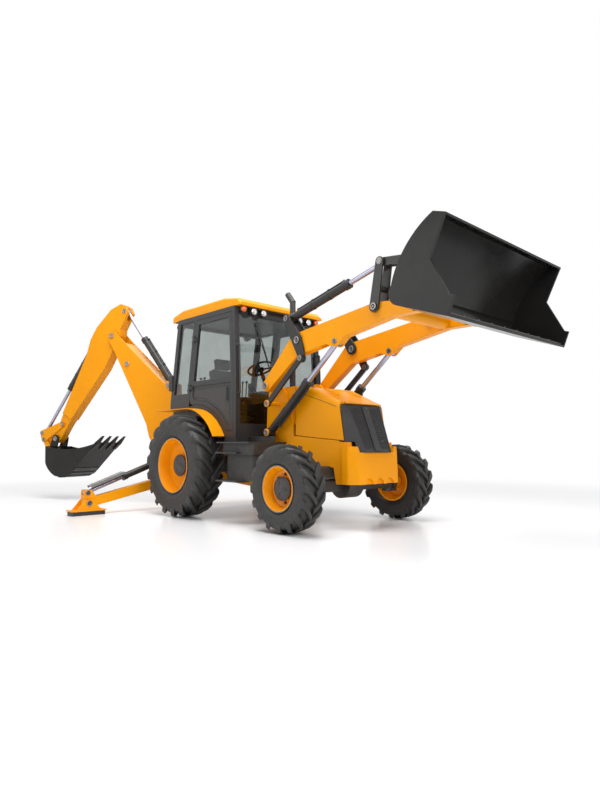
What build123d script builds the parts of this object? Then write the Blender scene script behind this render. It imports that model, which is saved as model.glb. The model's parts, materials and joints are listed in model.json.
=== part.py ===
from build123d import *
import math
import os

os.makedirs("parts", exist_ok=True)

# Lengths are in millimetres, angles in degrees.
# +X is forward, +Y is left, +Z is up; the origin is on the ground under the rear axle.

# Clearances
pin_gap = 0.3
side_gap = 5.0

# Wheels
rear_tyre_radius = 700.0
rear_tyre_width = 430.0
rear_rim_radius = 375.0
rear_track = 1930.0
front_tyre_radius = 495.0
front_tyre_width = 320.0
front_rim_radius = 255.0
front_track = 2000.0
wheelbase = 2170.0
rear_lug_height = 40.0
rear_lug_count = 18
front_lug_height = 30.0
front_lug_count = 16
hub_length = 120.0
rear_hub_radius = 105.0
front_hub_radius = 95.0
spindle_radius = 55.0
axle_tube_radius = 120.0
kingpin_offset = 220.0
kingpin_radius = 26.0

# Chassis
rail_outer = 400.0
rail_thickness = 60.0
rail_bottom = 860.0
rail_top = 1050.0
front_rail_top = 1010.0
front_rail_bottom = 715.0
nose_bottom = 520.0
nose_front = 2600.0
tower_thickness = 40.0
tower_outer = 408.0

# Engine bay
hood_half = 396.0
hood_sheet = 14.0
hood_hinge_drop = 36.0
hood_hinge_radius = 10.0
hood_rear = 1665.0
hood_front = 2400.0
hood_rear_z = 1725.0
hood_front_z = 1490.0
hood_bottom_z = 1030.0
bumper_half = 432.0
nose_seat_z = 890.0
grille_half = 374.0
grille_low_x = 2673.0
grille_low_half = 232.0
grille_high_x = 2449.0
grille_high_half = 290.0
grille_top_z = 1452.0
grille_slot = 175.0
grille_slot_height = 15.0
grille_slot_rows = 15
bumper_front = 2700.0

# Cab
cab_half = 780.0
cab_wall = 55.0
cab_floor_z = 1090.0
cab_top_z = 2830.0
cab_front_low = 930.0
cab_front_high = 880.0
cab_rear_low = -690.0
cab_rear_high = -500.0
cab_rear_waist_z = 1600.0
cab_waist_z = 1900.0
glass_thickness = 8.0
hinge_stand = 14.0
hinge_pin_radius = 7.0
door_thickness = 48.0
door_corner = 90.0
arch_radius = 845.0
fender_radius = 792.0
fender_sheet = 14.0
fender_outer = 965.0
roof_half = 765.0
roof_height = 150.0

# Loader, in the side view (x, z)
arm_centre = 500.0
arm_half_width = 55.0
plate_gap = 8.0
plate_thickness = 22.0
tie_rod_thickness = 26.0
lift_pin = (1275.0, 1739.0)
bell_pin = (1883.0, 2256.0)
bell_low = (93.0, -235.0)
bell_high = (-196.0, 298.0)
rocker_pin = (3097.0, 2461.0)
rocker_arm = (79.0, 482.0)
bucket_pin = (3640.0, 2395.0)
lift_ram_base = (1300.0, 1140.0)
lift_ram_pin = (2492.0, 2167.0)
lift_barrel_length = 925.0
lift_barrel_radius = 52.0
lift_rod_radius = 32.0
lift_eye = 52.0
tilt_barrel_length = 1029.0
tilt_barrel_radius = 50.0
tilt_rod_radius = 30.0
loader_pin_radius = 32.0
bucket_half = 1165.0
bucket_sheet = 22.0
cross_tube_radius = 85.0
cross_tube = (3290.0, 2410.0)

# Backhoe, in the slewed side view (distance from the slew axis, z)
slew_x = -1360.0
slew_rest = 22.0
slew_pin_radius = 55.0
slew_low_z = 430.0
slew_high_z = 905.0
slew_lug = 50.0
boom_foot = (330.0, 720.0)
boom_tip = (1605.0, 2927.0)
boom_half_width = 150.0
boom_plate = 25.0
boom_ram_base = (190.0, 1290.0)
boom_ram_pin = (1236.0, 2402.0)
boom_barrel_length = 1190.0
boom_barrel_radius = 62.0
boom_rod_radius = 36.0
dipper_ram_base = (345.0, 1985.0)
dipper_tail = (1370.0, 3363.0)
dipper_barrel_length = 1080.0
dipper_barrel_radius = 58.0
dipper_rod_radius = 34.0
dipper_half_width = 95.0
dipper_tip_half = 70.0
bucket_ram_base = (2066.0, 2892.0)
bucket_barrel_length = 1090.0
bucket_barrel_radius = 52.0
bucket_rod_radius = 32.0
digger_pin = (2917.0, 1100.0)
lever_pin = (2781.0, 1374.0)
lever_rod_pin = (3301.0, 1211.0)
lever_link_pin = (3257.0, 1085.0)
digger_link_pin = (3078.0, 792.0)
digger_half = 310.0
digger_sheet = 20.0
backhoe_pin_radius = 35.0

# Stabilisers, in the rear view (distance out from the middle, z)
leg_x = -1080.0
leg_width = 120.0
leg_pin = (450.0, 472.0)
leg_foot = (1864.0, 166.0)
leg_rod_pin = (1876.0, 309.0)
leg_ram_base = (420.0, 845.0)
leg_barrel_length = 975.0
leg_barrel_radius = 48.0
leg_rod_radius = 28.0
leg_pin_radius = 30.0
pad_half = 230.0
frame_plate = 25.0
step_top = 1018.0
step_plate = 18.0
tie_down_y = 320.0
tie_down_z = 620.0
tie_down_radius = 22.0


def side(y):
    """Side-view plane: sketch x is forward, sketch y is up."""
    return Plane((0, y, 0), x_dir=(1, 0, 0), z_dir=(0, -1, 0))


def slewed(offset=0.0):
    """Side view of the slewed backhoe: sketch x runs out from the slew axis."""
    c = math.cos(math.radians(slew_rest))
    s = math.sin(math.radians(slew_rest))
    return Plane((slew_x - s * offset, c * offset, 0), x_dir=(-c, -s, 0), z_dir=(-s, c, 0))


def rear_view(x):
    """Rear-view plane of the right side: sketch x runs out to the right."""
    return Plane((x, 0, 0), x_dir=(0, -1, 0), z_dir=(-1, 0, 0))


def along(plane, start, end):
    """Plane at start, in the plane's own coordinates, facing end."""
    a = plane.from_local_coords(Vector(start[0], start[1], 0))
    b = plane.from_local_coords(Vector(end[0], end[1], 0))
    return Plane(a, x_dir=plane.z_dir, z_dir=b - a)


def span(start, end):
    return math.dist(start, end)


def toward(start, end, distance):
    k = distance / math.dist(start, end)
    return (start[0] + (end[0] - start[0]) * k, start[1] + (end[1] - start[1]) * k)


def plus(point, step):
    return (point[0] + step[0], point[1] + step[1])


bell_low_pin = plus(bell_pin, bell_low)
bell_high_pin = plus(bell_pin, bell_high)
tie_pin = plus(lift_pin, bell_low)
rocker_high = plus(rocker_pin, rocker_arm)
link_pin = plus(bucket_pin, rocker_arm)
plate_in = arm_half_width + plate_gap
plate_out = plate_in + plate_thickness
tie_rod_y = arm_centre + plate_out + side_gap + tie_rod_thickness / 2
tower_inner = tower_outer - tower_thickness
hood_hinge = (hood_rear + 4, hood_rear_z - hood_hinge_drop)

rear_wheel_y = rear_track / 2
front_wheel_y = front_track / 2
kingpin_y = front_wheel_y - kingpin_offset


# Wheels: a tyre seated on a dished rim, for each corner
def tyre_section(width, radius, rim):
    h = width / 2
    d = radius - rim
    return [
        (-0.8 * h, rim),
        (-h, rim + 0.42 * d),
        (-0.95 * h, radius - 0.22 * d),
        (-0.8 * h, radius),
        (0.8 * h, radius),
        (0.95 * h, radius - 0.22 * d),
        (h, rim + 0.42 * d),
        (0.8 * h, rim),
    ]


def rim_section(width, rim, hub):
    b = 0.8 * width / 2
    s = spindle_radius + pin_gap
    return [
        (-b, rim),
        (b + 14, rim),
        (b + 14, rim - 20),
        (b - 40, rim - 34),
        (30, rim - 52),
        (14, 0.66 * rim),
        (14, hub),
        (hub_length / 2, hub),
        (hub_length / 2, 0),
        (hub_length / 2 - 20, 0),
        (hub_length / 2 - 20, s),
        (-hub_length / 2, s),
        (-hub_length / 2, hub),
        (-8, hub),
        (-8, 0.66 * rim),
        (8, rim - 52),
        (-b, rim - 20),
    ]


rear_left = Plane((0, rear_wheel_y, rear_tyre_radius), x_dir=(0, 1, 0), z_dir=(1, 0, 0))
rear_right = Plane((0, -rear_wheel_y, rear_tyre_radius), x_dir=(0, -1, 0), z_dir=(-1, 0, 0))
front_left = Plane((wheelbase, front_wheel_y, front_tyre_radius), x_dir=(0, 1, 0), z_dir=(1, 0, 0))
front_right = Plane((wheelbase, -front_wheel_y, front_tyre_radius), x_dir=(0, -1, 0), z_dir=(-1, 0, 0))
rear_axis = Axis((0, 0, rear_tyre_radius), (0, 1, 0))
front_axis = Axis((wheelbase, 0, front_tyre_radius), (0, 1, 0))



def lug_planes(axle, radius, count, start):
    """Planes on the carcass round an axle: sketch x to the left, sketch y round the tread."""
    planes = []
    for i in range(count):
        angle = math.radians(360 / count * (i + start))
        planes.append(
            Plane(axle, x_dir=(0, 1, 0), z_dir=(math.cos(angle), 0, math.sin(angle))).offset(radius)
        )
    return planes


def lugged_tyre(plane, axis, width, radius, rim, height, count):
    """Carcass with two rows of slanted, tapered lugs out to the tyre's radius."""
    axle = (plane.origin.X, plane.origin.Y, plane.origin.Z)
    pitch = 2 * math.pi * radius / count
    root = radius - 2 * height
    with BuildPart() as tyre:
        with BuildSketch(plane):
            Polygon(*tyre_section(width, radius - height, rim), align=None)
        revolve(axis=axis)
        for sign, start in ((1, 0), (-1, 0.5)):
            with BuildSketch(*lug_planes(axle, root, count, start)):
                Polygon(
                    (-0.04 * sign * width, -0.42 * pitch),
                    (-0.04 * sign * width, -0.1 * pitch),
                    (0.28 * sign * width, 0.26 * pitch),
                    (0.49 * sign * width, 0.4 * pitch),
                    (0.49 * sign * width, 0.08 * pitch),
                    (0.28 * sign * width, -0.08 * pitch),
                    align=None,
                )
            extrude(amount=2.4 * height, taper=6)
        with BuildSketch(plane):
            Polygon(*tyre_section(width, radius, rim), align=None)
        revolve(axis=axis, mode=Mode.INTERSECT)
    return tyre.part


with BuildPart() as tyre_rear_left:
    add(lugged_tyre(
        rear_left, rear_axis, rear_tyre_width, rear_tyre_radius,
        rear_rim_radius, rear_lug_height, rear_lug_count,
    ))

with BuildPart() as tyre_rear_right:
    add(tyre_rear_left.part.mirror(Plane.XZ))

with BuildPart() as tyre_front_left:
    add(lugged_tyre(
        front_left, front_axis, front_tyre_width, front_tyre_radius,
        front_rim_radius, front_lug_height, front_lug_count,
    ))

with BuildPart() as tyre_front_right:
    add(tyre_front_left.part.mirror(Plane.XZ))

with BuildPart() as rim_rear_left:
    with BuildSketch(rear_left):
        Polygon(*rim_section(rear_tyre_width, rear_rim_radius, rear_hub_radius), align=None)
    revolve(axis=rear_axis)

with BuildPart() as rim_rear_right:
    with BuildSketch(rear_right):
        Polygon(*rim_section(rear_tyre_width, rear_rim_radius, rear_hub_radius), align=None)
    revolve(axis=rear_axis)

with BuildPart() as rim_front_left:
    with BuildSketch(front_left):
        Polygon(*rim_section(front_tyre_width, front_rim_radius, front_hub_radius), align=None)
    revolve(axis=front_axis)

with BuildPart() as rim_front_right:
    with BuildSketch(front_right):
        Polygon(*rim_section(front_tyre_width, front_rim_radius, front_hub_radius), align=None)
    revolve(axis=front_axis)

# Axles: the driven rear axle and the steered front beam, each with its housing
rear_shoulder = rear_wheel_y - hub_length / 2 - side_gap
knuckle_height = 84.0
with BuildPart() as axles:
    with BuildSketch(Plane((0, 0, rear_tyre_radius), z_dir=(0, 1, 0))):
        Circle(axle_tube_radius)
    extrude(amount=rear_shoulder, both=True)
    with BuildSketch(Plane((0, 0, rear_tyre_radius), z_dir=(0, 1, 0))):
        Circle(spindle_radius)
    extrude(amount=rear_wheel_y + hub_length / 2 - 24, both=True)
    with BuildSketch(Plane((0, 0, rear_tyre_radius), z_dir=(0, 1, 0))):
        Circle(1.3 * axle_tube_radius)
    extrude(amount=190, both=True)
    for x in (-90, 90):
        with BuildSketch(side(rail_outer - rail_thickness / 2)):
            with Locations((x, (rail_bottom + rear_tyre_radius) / 2)):
                Rectangle(40, rail_bottom - rear_tyre_radius)
        extrude(amount=rail_thickness / 2, both=True)
        with BuildSketch(side(-rail_outer + rail_thickness / 2)):
            with Locations((x, (rail_bottom + rear_tyre_radius) / 2)):
                Rectangle(40, rail_bottom - rear_tyre_radius)
        extrude(amount=rail_thickness / 2, both=True)
    with BuildSketch(side(0)):
        with Locations((wheelbase, front_tyre_radius)):
            RectangleRounded(130, 150, 30)
    extrude(amount=kingpin_y, both=True)
    with BuildSketch(Plane((wheelbase, 0, front_tyre_radius), z_dir=(0, 1, 0))):
        Circle(160)
    extrude(amount=130, both=True)
    for y in (-kingpin_y, kingpin_y):
        with BuildSketch(Plane((wheelbase, y, front_tyre_radius))):
            Circle(66)
        extrude(amount=knuckle_height, both=True)
        with BuildSketch(Plane((wheelbase, y, front_tyre_radius))):
            Circle(kingpin_radius + pin_gap)
        extrude(amount=knuckle_height + 1, both=True, mode=Mode.SUBTRACT)
    with BuildSketch(Plane((wheelbase, 0, 0), z_dir=(1, 0, 0), x_dir=(0, 1, 0))):
        with Locations((0, (front_tyre_radius + front_rail_bottom) / 2)):
            Rectangle(200, front_rail_bottom - front_tyre_radius)
    extrude(amount=100, both=True)


# Knuckles: a fork round the axle's end eye, with its pin and stub axle
def knuckle_fork(sign):
    y = sign * kingpin_y
    plane = Plane((wheelbase, y, front_tyre_radius))
    with BuildPart() as fork:
        for z in (knuckle_height + pin_gap, -knuckle_height - pin_gap - 34):
            with BuildSketch(plane.offset(z)):
                Circle(66)
                with Locations((0, sign * 60)):
                    Rectangle(132, 120)
            extrude(amount=34)
        with BuildSketch(plane.offset(-knuckle_height - pin_gap - 34)):
            with Locations((0, sign * 100)):
                Rectangle(132, 40)
        extrude(amount=2 * (knuckle_height + pin_gap + 34))
        with BuildSketch(plane):
            Circle(kingpin_radius)
        extrude(amount=knuckle_height + 10, both=True)
        reach = front_wheel_y + hub_length / 2 - 24 - kingpin_y - 110
        stub = Plane((wheelbase, sign * (kingpin_y + 110), front_tyre_radius), z_dir=(0, sign, 0))
        with BuildSketch(stub):
            Circle(spindle_radius)
        extrude(amount=reach)
    return fork.part


with BuildPart() as knuckle_left:
    add(knuckle_fork(1))

with BuildPart() as knuckle_right:
    add(knuckle_fork(-1))

# Main frame: rails, front plates over the axle, loader towers and the rear frame
leg_front = leg_x + leg_width / 2 + side_gap
leg_rear = leg_x - leg_width / 2 - side_gap
with BuildPart() as main_frame:
    with BuildSketch(side(-(rail_outer - rail_thickness / 2))):
        Polygon(
            (leg_front, rail_bottom),
            (leg_front, rail_top),
            (hood_rear - 300, rail_top),
            (hood_rear - 15, hood_bottom_z + 62),
            (hood_rear + 95, hood_bottom_z + 52),
            (hood_front + 5, hood_bottom_z - 2),
            (hood_front + 12, front_rail_top),
            (nose_front - 50, front_rail_top),
            (nose_front, nose_bottom + 10),
            (wheelbase + 190, nose_bottom),
            (wheelbase + 150, front_rail_bottom),
            (wheelbase - 300, front_rail_bottom),
            (wheelbase - 470, rail_bottom),
            align=None,
        )
    extrude(amount=rail_thickness / 2, both=True)
    with BuildSketch(side(-(tower_outer - tower_thickness / 2))):
        with BuildLine():
            Polyline(
                (1100, rail_bottom),
                (1130, 1450),
                plus(lift_pin, (-95, 30)),
                plus(lift_pin, (-40, 92)),
                plus(lift_pin, (60, 78)),
                (1490, 1640),
                (hood_rear - 45, 1250),
                (hood_rear - 15, rail_bottom),
                close=True,
            )
        make_face()
        fillet(vertices().filter_by_position(Axis.Y, 1000, 3000), 30)
    extrude(amount=tower_thickness / 2, both=True)
    mirror(about=Plane.XZ)
    for spot, radius, reach in (
        (lift_pin, loader_pin_radius + 6, arm_centre + arm_half_width + side_gap),
        (tie_pin, loader_pin_radius - 4, tie_rod_y + tie_rod_thickness / 2 + pin_gap),
        (lift_ram_base, loader_pin_radius, arm_centre + arm_half_width + side_gap),
    ):
        for sign in (-1, 1):
            with BuildSketch(Plane((spot[0], sign * tower_inner, spot[1]), z_dir=(0, sign, 0))):
                Circle(radius)
            extrude(amount=reach + 14 - tower_inner)
            with BuildSketch(Plane((spot[0], sign * reach, spot[1]), z_dir=(0, sign, 0))):
                Circle(radius + 16)
            extrude(amount=14)
    # cross members under the engine and at the front axle pivot
    for x0, x1, z0, z1 in (
        (1500, 1640, 735, rail_bottom + 20),
        (1990, 2350, front_rail_bottom, front_rail_bottom + 45),
        (2440, 2540, 560, 880),
        (-200, 200, rail_bottom, rail_bottom + 60),
    ):
        with BuildSketch(Plane((0, 0, z0))):
            with Locations(((x0 + x1) / 2, 0)):
                Rectangle(x1 - x0, 2 * (rail_outer - rail_thickness) + 2)
        extrude(amount=z1 - z0)
    with BuildSketch(side(0)):
        Polygon(
            (1500, 735),
            (1640, 735),
            (1990, front_rail_bottom),
            (1990, front_rail_bottom + 45),
            (1500, 780),
            align=None,
        )
    extrude(amount=rail_outer - rail_thickness + 1, both=True)
    # rear frame: two cross plates with the stabiliser legs between them
    for x in (leg_front, leg_rear - frame_plate):
        with BuildSketch(Plane((x, 0, 0), x_dir=(0, 1, 0), z_dir=(1, 0, 0))):
            Polygon(
                (-leg_pin[0] - 80, leg_pin[1] - 80),
                (leg_pin[0] + 80, leg_pin[1] - 80),
                (leg_pin[0] + 80, leg_ram_base[1] + 70),
                (leg_pin[0] - 60, rail_top),
                (-leg_pin[0] + 60, rail_top),
                (-leg_pin[0] - 80, leg_ram_base[1] + 70),
                align=None,
            )
        extrude(amount=frame_plate)
    with BuildSketch(Plane((0, 0, leg_pin[1] - 80))):
        with Locations((leg_x, 0)):
            Rectangle(leg_width + 2 * side_gap + 2, 2 * (leg_pin[0] - 190))
    extrude(amount=rail_top - leg_pin[1] + 80)
    with BuildSketch(Plane((leg_rear - frame_plate - 1, 0, 0), x_dir=(0, 1, 0), z_dir=(1, 0, 0))):
        with Locations((-tie_down_y, tie_down_z), (tie_down_y, tie_down_z)):
            Circle(tie_down_radius)
    extrude(amount=frame_plate + 2, mode=Mode.SUBTRACT)
    for spot in (leg_pin, leg_ram_base):
        for sign in (-1, 1):
            with BuildSketch(Plane((leg_front + 1, sign * spot[0], spot[1]), z_dir=(-1, 0, 0))):
                Circle(leg_pin_radius)
            extrude(amount=leg_width + 2 * side_gap + 2)
    # slew lugs behind the rear plate
    for z in (slew_low_z, slew_high_z):
        with BuildSketch(Plane((0, 0, z))):
            with Locations(((slew_x + leg_rear) / 2, 0)):
                Rectangle(leg_rear - slew_x, 180)
            with Locations((slew_x, 0)):
                Circle(110)
            with Locations((slew_x, 0)):
                Circle(slew_pin_radius + pin_gap, mode=Mode.SUBTRACT)
        extrude(amount=slew_lug)

# Engine block with its exhaust stack
engine_base = front_rail_bottom + 45
stack_x = 1505.0
stack_y = -300.0
with BuildPart() as engine:
    with BuildSketch(Plane((0, 0, rail_bottom + 20))):
        with Locations((1900, 0)):
            Rectangle(780, 560)
    extrude(amount=520)
    with BuildSketch(Plane((0, 0, engine_base))):
        with Locations((2130, 0)):
            Rectangle(260, 460)
    extrude(amount=rail_bottom + 20 - engine_base)
    with BuildSketch(Plane((0, 0, 1300))):
        with Locations((stack_x, stack_y)):
            Circle(38)
    extrude(amount=1540)
    with BuildSketch(Plane((0, 0, 1300))):
        with Locations((stack_x, stack_y + 40)):
            Rectangle(76, 120)
    extrude(amount=90)
    bent = Plane((stack_x, stack_y, 2840), z_dir=(-107, 0, 134))
    with BuildSketch(bent.offset(-16)):
        Circle(38)
    extrude(amount=170)
    with BuildSketch(bent.offset(60)):
        Circle(31)
    extrude(amount=100, mode=Mode.SUBTRACT)

# Cowl between the towers, carrying the bonnet hinge
with BuildPart() as cowl:
    with BuildSketch(side(0)):
        with BuildLine():
            Polyline(
                (1180, 1240),
                (1180, 1560),
                (1330, hood_rear_z - 10),
                (hood_rear - 36, hood_rear_z),
                (hood_rear - 36, 1240),
                close=True,
            )
        make_face()
    extrude(amount=tower_inner, both=True)
    with BuildSketch(side(0)):
        Polygon(
            (1180 + 20, 1239),
            (1180 + 20, 1550),
            (1340, hood_rear_z - 34),
            (hood_rear, hood_rear_z - 24),
            (hood_rear, 1239),
            align=None,
        )
    extrude(amount=tower_inner - 20, both=True, mode=Mode.SUBTRACT)
    with BuildSketch(Plane((0, 0, 1500))):
        with Locations((stack_x, stack_y)):
            Circle(38 + 4)
    extrude(amount=400, mode=Mode.SUBTRACT)
    for y in (-220, 220):
        with BuildSketch(side(y)):
            with Locations(hood_hinge):
                Circle(hood_hinge_radius + 3)
            Polygon(
                plus(hood_hinge, (-100, 20)),
                plus(hood_hinge, (-66, 20)),
                plus(hood_hinge, (-44, -10)),
                plus(hood_hinge, (-14, 4)),
                plus(hood_hinge, (0, -13)),
                plus(hood_hinge, (-50, -36)),
                plus(hood_hinge, (-100, -6)),
                align=None,
            )
            with Locations(hood_hinge):
                Circle(hood_hinge_radius + pin_gap, mode=Mode.SUBTRACT)
        extrude(amount=30, both=True)

# Bonnet: one shell with top and sides, hinged at its rear edge
def hood_body(inset):
    """Hood outline, drawn in by the sheet's thickness for the inside."""
    low = hood_bottom_z - (60 if inset else 0)
    reach = 60 if inset else 0
    with BuildPart() as body:
        with BuildSketch(side(0)):
            Polygon(
                (hood_rear - reach, low + 70),
                (hood_rear - reach, hood_rear_z - inset),
                (1960, hood_rear_z - 40 - inset),
                (hood_front + reach, hood_front_z - inset - 0.75 * reach),
                (hood_front + 70 + reach, low),
                (1760, low + 60),
                align=None,
            )
        extrude(amount=hood_half - inset, both=True)
        top = hood_front_z - 60 - reach
        rim = hood_half - inset
        fillet(
            edges().filter_by(
                lambda e: e.center().Z > top and abs(
                    abs(e.center().Y) - rim
                ) < 1 and abs(e.tangent_at(0.5).Z) < 0.9
            ),
            60 - inset,
        )
    return body.part


with BuildPart() as bonnet:
    add(hood_body(0))
    add(hood_body(hood_sheet), mode=Mode.SUBTRACT)
    # lip over the top of the grille
    with BuildSketch(side(0)):
        Polygon(
            (hood_front - 30, hood_front_z + 6),
            (grille_high_x + 12, hood_front_z - 18),
            (grille_high_x + 12, hood_front_z - 27),
            (hood_front - 30, hood_front_z - hood_sheet),
            align=None,
        )
    extrude(amount=grille_high_half + 20, both=True)
    for y in (-220, 220):
        for step in (-47, 47):
            with BuildSketch(side(y + step)):
                with Locations(hood_hinge):
                    Circle(hood_hinge_radius + 8)
                Polygon(
                    plus(hood_hinge, (-10, 10)),
                    plus(hood_hinge, (-4, 26)),
                    plus(hood_hinge, (60, 22)),
                    plus(hood_hinge, (12, -14)),
                    align=None,
                )
            extrude(amount=12, both=True)
        with BuildSketch(side(y)):
            with Locations(hood_hinge):
                Circle(hood_hinge_radius)
        extrude(amount=58, both=True)

# Grille: a slanted nose panel with side facets, hollow behind, its front cut by two rows of slots
def nose_section(inset):
    """Bottom and top outlines of the nose, drawn in for its inside."""
    half = grille_half - inset
    low = [
        (hood_front + 90 - 2 * inset, -half),
        (grille_low_x - inset, -grille_low_half + inset),
        (grille_low_x - inset, grille_low_half - inset),
        (hood_front + 90 - 2 * inset, half),
    ]
    high = [
        (hood_front + 10 - 2 * inset, -half),
        (grille_high_x - inset, -grille_high_half + inset),
        (grille_high_x - inset, grille_high_half - inset),
        (hood_front + 10 - 2 * inset, half),
    ]
    return low, high


grille_low, grille_high = nose_section(0)
hollow_low, hollow_high = nose_section(hood_sheet)
grille_slope = (grille_low_x - grille_high_x, nose_seat_z - grille_top_z)
grille_face = Plane(
    ((grille_low_x + grille_high_x) / 2, 0, (nose_seat_z + grille_top_z) / 2),
    x_dir=(0, 1, 0),
    z_dir=(-grille_slope[1], 0, grille_slope[0]),
)
with BuildPart() as grille:
    with BuildSketch(Plane((0, 0, nose_seat_z))):
        Polygon(*grille_low, align=None)
    with BuildSketch(Plane((0, 0, grille_top_z))):
        Polygon(*grille_high, align=None)
    loft(ruled=True)
    with BuildSketch(Plane((0, 0, nose_seat_z - 1))):
        Polygon(*hollow_low, align=None)
    with BuildSketch(Plane((0, 0, grille_top_z - hood_sheet))):
        Polygon(*hollow_high, align=None)
    loft(ruled=True, mode=Mode.SUBTRACT)
    with BuildSketch(side(0)):
        Polygon(
            (hood_front - 100, nose_seat_z - 20),
            (hood_front - 100, front_rail_top + side_gap),
            (nose_front - 40, front_rail_top + side_gap),
            (nose_front + 10, nose_seat_z - 10),
            (nose_front + 10, nose_seat_z - 20),
            align=None,
        )
    extrude(amount=hood_half, both=True, mode=Mode.SUBTRACT)
    with BuildSketch(grille_face):
        with GridLocations(grille_slot + 2 * hood_sheet, 2 * grille_slot_height, 2, grille_slot_rows):
            Rectangle(grille_slot, grille_slot_height)
    extrude(amount=-3 * hood_sheet, mode=Mode.SUBTRACT)

# Nose bumper: a cast block with rounded corners under the grille, scalloped along its lower edge
with BuildPart() as nose_bumper:
    with BuildSketch(Plane((0, 0, nose_bottom + 5))):
        with BuildLine():
            Polyline(
                (nose_front - 120, -bumper_half),
                (nose_front - 30, -bumper_half),
                (bumper_front - 10, -bumper_half + 90),
                (bumper_front, 0),
                (bumper_front - 10, bumper_half - 90),
                (nose_front - 30, bumper_half),
                (nose_front - 120, bumper_half),
                close=True,
            )
        make_face()
        fillet(vertices().filter_by_position(Axis.X, nose_front - 40, bumper_front - 5), 45)
    extrude(amount=nose_seat_z + 70 - nose_bottom - 5)
    with BuildSketch(side(0)):
        Polygon(
            (nose_front - 200, nose_bottom - 20),
            (nose_front - 200, front_rail_top),
            (nose_front - 50, front_rail_top),
            (nose_front, nose_bottom + 10),
            (nose_front, nose_bottom - 20),
            align=None,
        )
    extrude(amount=rail_outer + 6, both=True, mode=Mode.SUBTRACT)
    with BuildSketch(side(0)):
        Polygon(
            (bumper_front - 60, nose_seat_z + 70),
            (bumper_front + 20, nose_seat_z + 70),
            (bumper_front + 20, nose_bottom),
            (bumper_front - 6, nose_bottom),
            align=None,
        )
    extrude(amount=bumper_half, both=True, mode=Mode.SUBTRACT)
    with BuildSketch(Plane((bumper_front + 100, 0, 0), x_dir=(0, 1, 0), z_dir=(1, 0, 0))):
        Polygon(
            (-grille_low_half - 118, nose_seat_z + 110),
            (-grille_low_half - 73, nose_seat_z),
            (grille_low_half + 73, nose_seat_z),
            (grille_low_half + 118, nose_seat_z + 110),
            align=None,
        )
    extrude(amount=-400, mode=Mode.SUBTRACT)
    with BuildSketch(Plane((bumper_front + 100, 0, 0), x_dir=(0, 1, 0), z_dir=(1, 0, 0))):
        with Locations((-190, nose_bottom), (0, nose_bottom), (190, nose_bottom)):
            Circle(72)
    extrude(amount=-145, mode=Mode.SUBTRACT)

# Side tanks with their steps, one on each side between the wheels
with BuildPart() as side_tanks:
    with BuildSketch(Plane((0, 0, 530))):
        with Locations((1180, -(tower_outer + 250))):
            RectangleRounded(560, 500, 50)
    extrude(amount=330)
    with BuildSketch(Plane((0, 0, 860))):
        with Locations((1200, -(tower_outer + 280))):
            RectangleRounded(620, 560, 40)
    extrude(amount=140)
    for z, x in ((step_top - step_plate, 1190), (872, 1060), (520, 1080)):
        with BuildSketch(Plane((0, 0, z))):
            with Locations((x, -(tower_outer + 320))):
                RectangleRounded(440 if z < step_top - step_plate else 640, 640, 20)
        extrude(amount=step_plate)
    mirror(about=Plane.XZ)

# Cab outline values shared by the frame, doors, glass and fenders
arch_top = rear_tyre_radius + fender_radius
sill_x = math.sqrt(fender_radius**2 - (cab_floor_z - rear_tyre_radius) ** 2)
tub_half = rear_wheel_y - rear_tyre_width / 2 - 30
door_sill_z = cab_floor_z + 80
door_head_z = cab_top_z - 70
door_low_x = math.sqrt(arch_radius**2 - (door_sill_z - rear_tyre_radius) ** 2)
hinge_low = (-190.0, rear_tyre_radius + math.sqrt(arch_radius**2 - 190.0**2))
hinge_high = (-10.0, door_head_z)


def front_x(z):
    """Outer face of the cab's front at a height."""
    if z <= cab_waist_z:
        return cab_front_low
    k = (z - cab_waist_z) / (cab_top_z - cab_waist_z)
    return cab_front_low + (cab_front_high - cab_front_low) * k


def rear_x(z):
    """Outer face of the cab's rear at a height."""
    k = (z - cab_rear_waist_z) / (cab_top_z - cab_rear_waist_z)
    return cab_rear_low + (cab_rear_high - cab_rear_low) * k


def door_outline(inset):
    """Door shape in the side view, with its rear low edge round the wheel arch."""
    with BuildSketch() as shape:
        with BuildLine():
            Polyline(
                hinge_low,
                hinge_high,
                (front_x(door_head_z) - cab_wall, door_head_z),
                (cab_front_low - cab_wall, cab_waist_z),
                (cab_front_low - cab_wall, door_sill_z),
                (door_low_x, door_sill_z),
            )
            RadiusArc((door_low_x, door_sill_z), hinge_low, -arch_radius)
        make_face()
        if inset:
            offset(amount=-inset, kind=Kind.INTERSECTION)
            fillet(vertices().sort_by_distance(hinge_low)[0], door_corner)
    return shape.sketch


def door_hinge(sign, share):
    """Plane on a door's hinge line: sketch x forward, sketch y to the left."""
    k = math.dist(hinge_low, hinge_high)
    up = ((hinge_high[0] - hinge_low[0]) / k, (hinge_high[1] - hinge_low[1]) / k)
    spot = toward(hinge_low, hinge_high, k * share)
    origin = (spot[0], sign * (cab_half + hinge_stand), spot[1])
    return Plane(origin, x_dir=(up[1], 0, -up[0]), z_dir=(up[0], 0, up[1]))


def quarter_outline():
    with BuildSketch() as shape:
        Polygon(
            (rear_x(1720) + 80, 1720),
            (rear_x(door_head_z) + 80, door_head_z),
            (hinge_high[0] - 70, door_head_z),
            (
                hinge_low[0] - 70 + (
                    hinge_high[0] - hinge_low[0]
                ) * (1720 - hinge_low[1]) / (hinge_high[1] - hinge_low[1]),
                1720,
            ),
            align=None,
        )
    return shape.sketch


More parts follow.
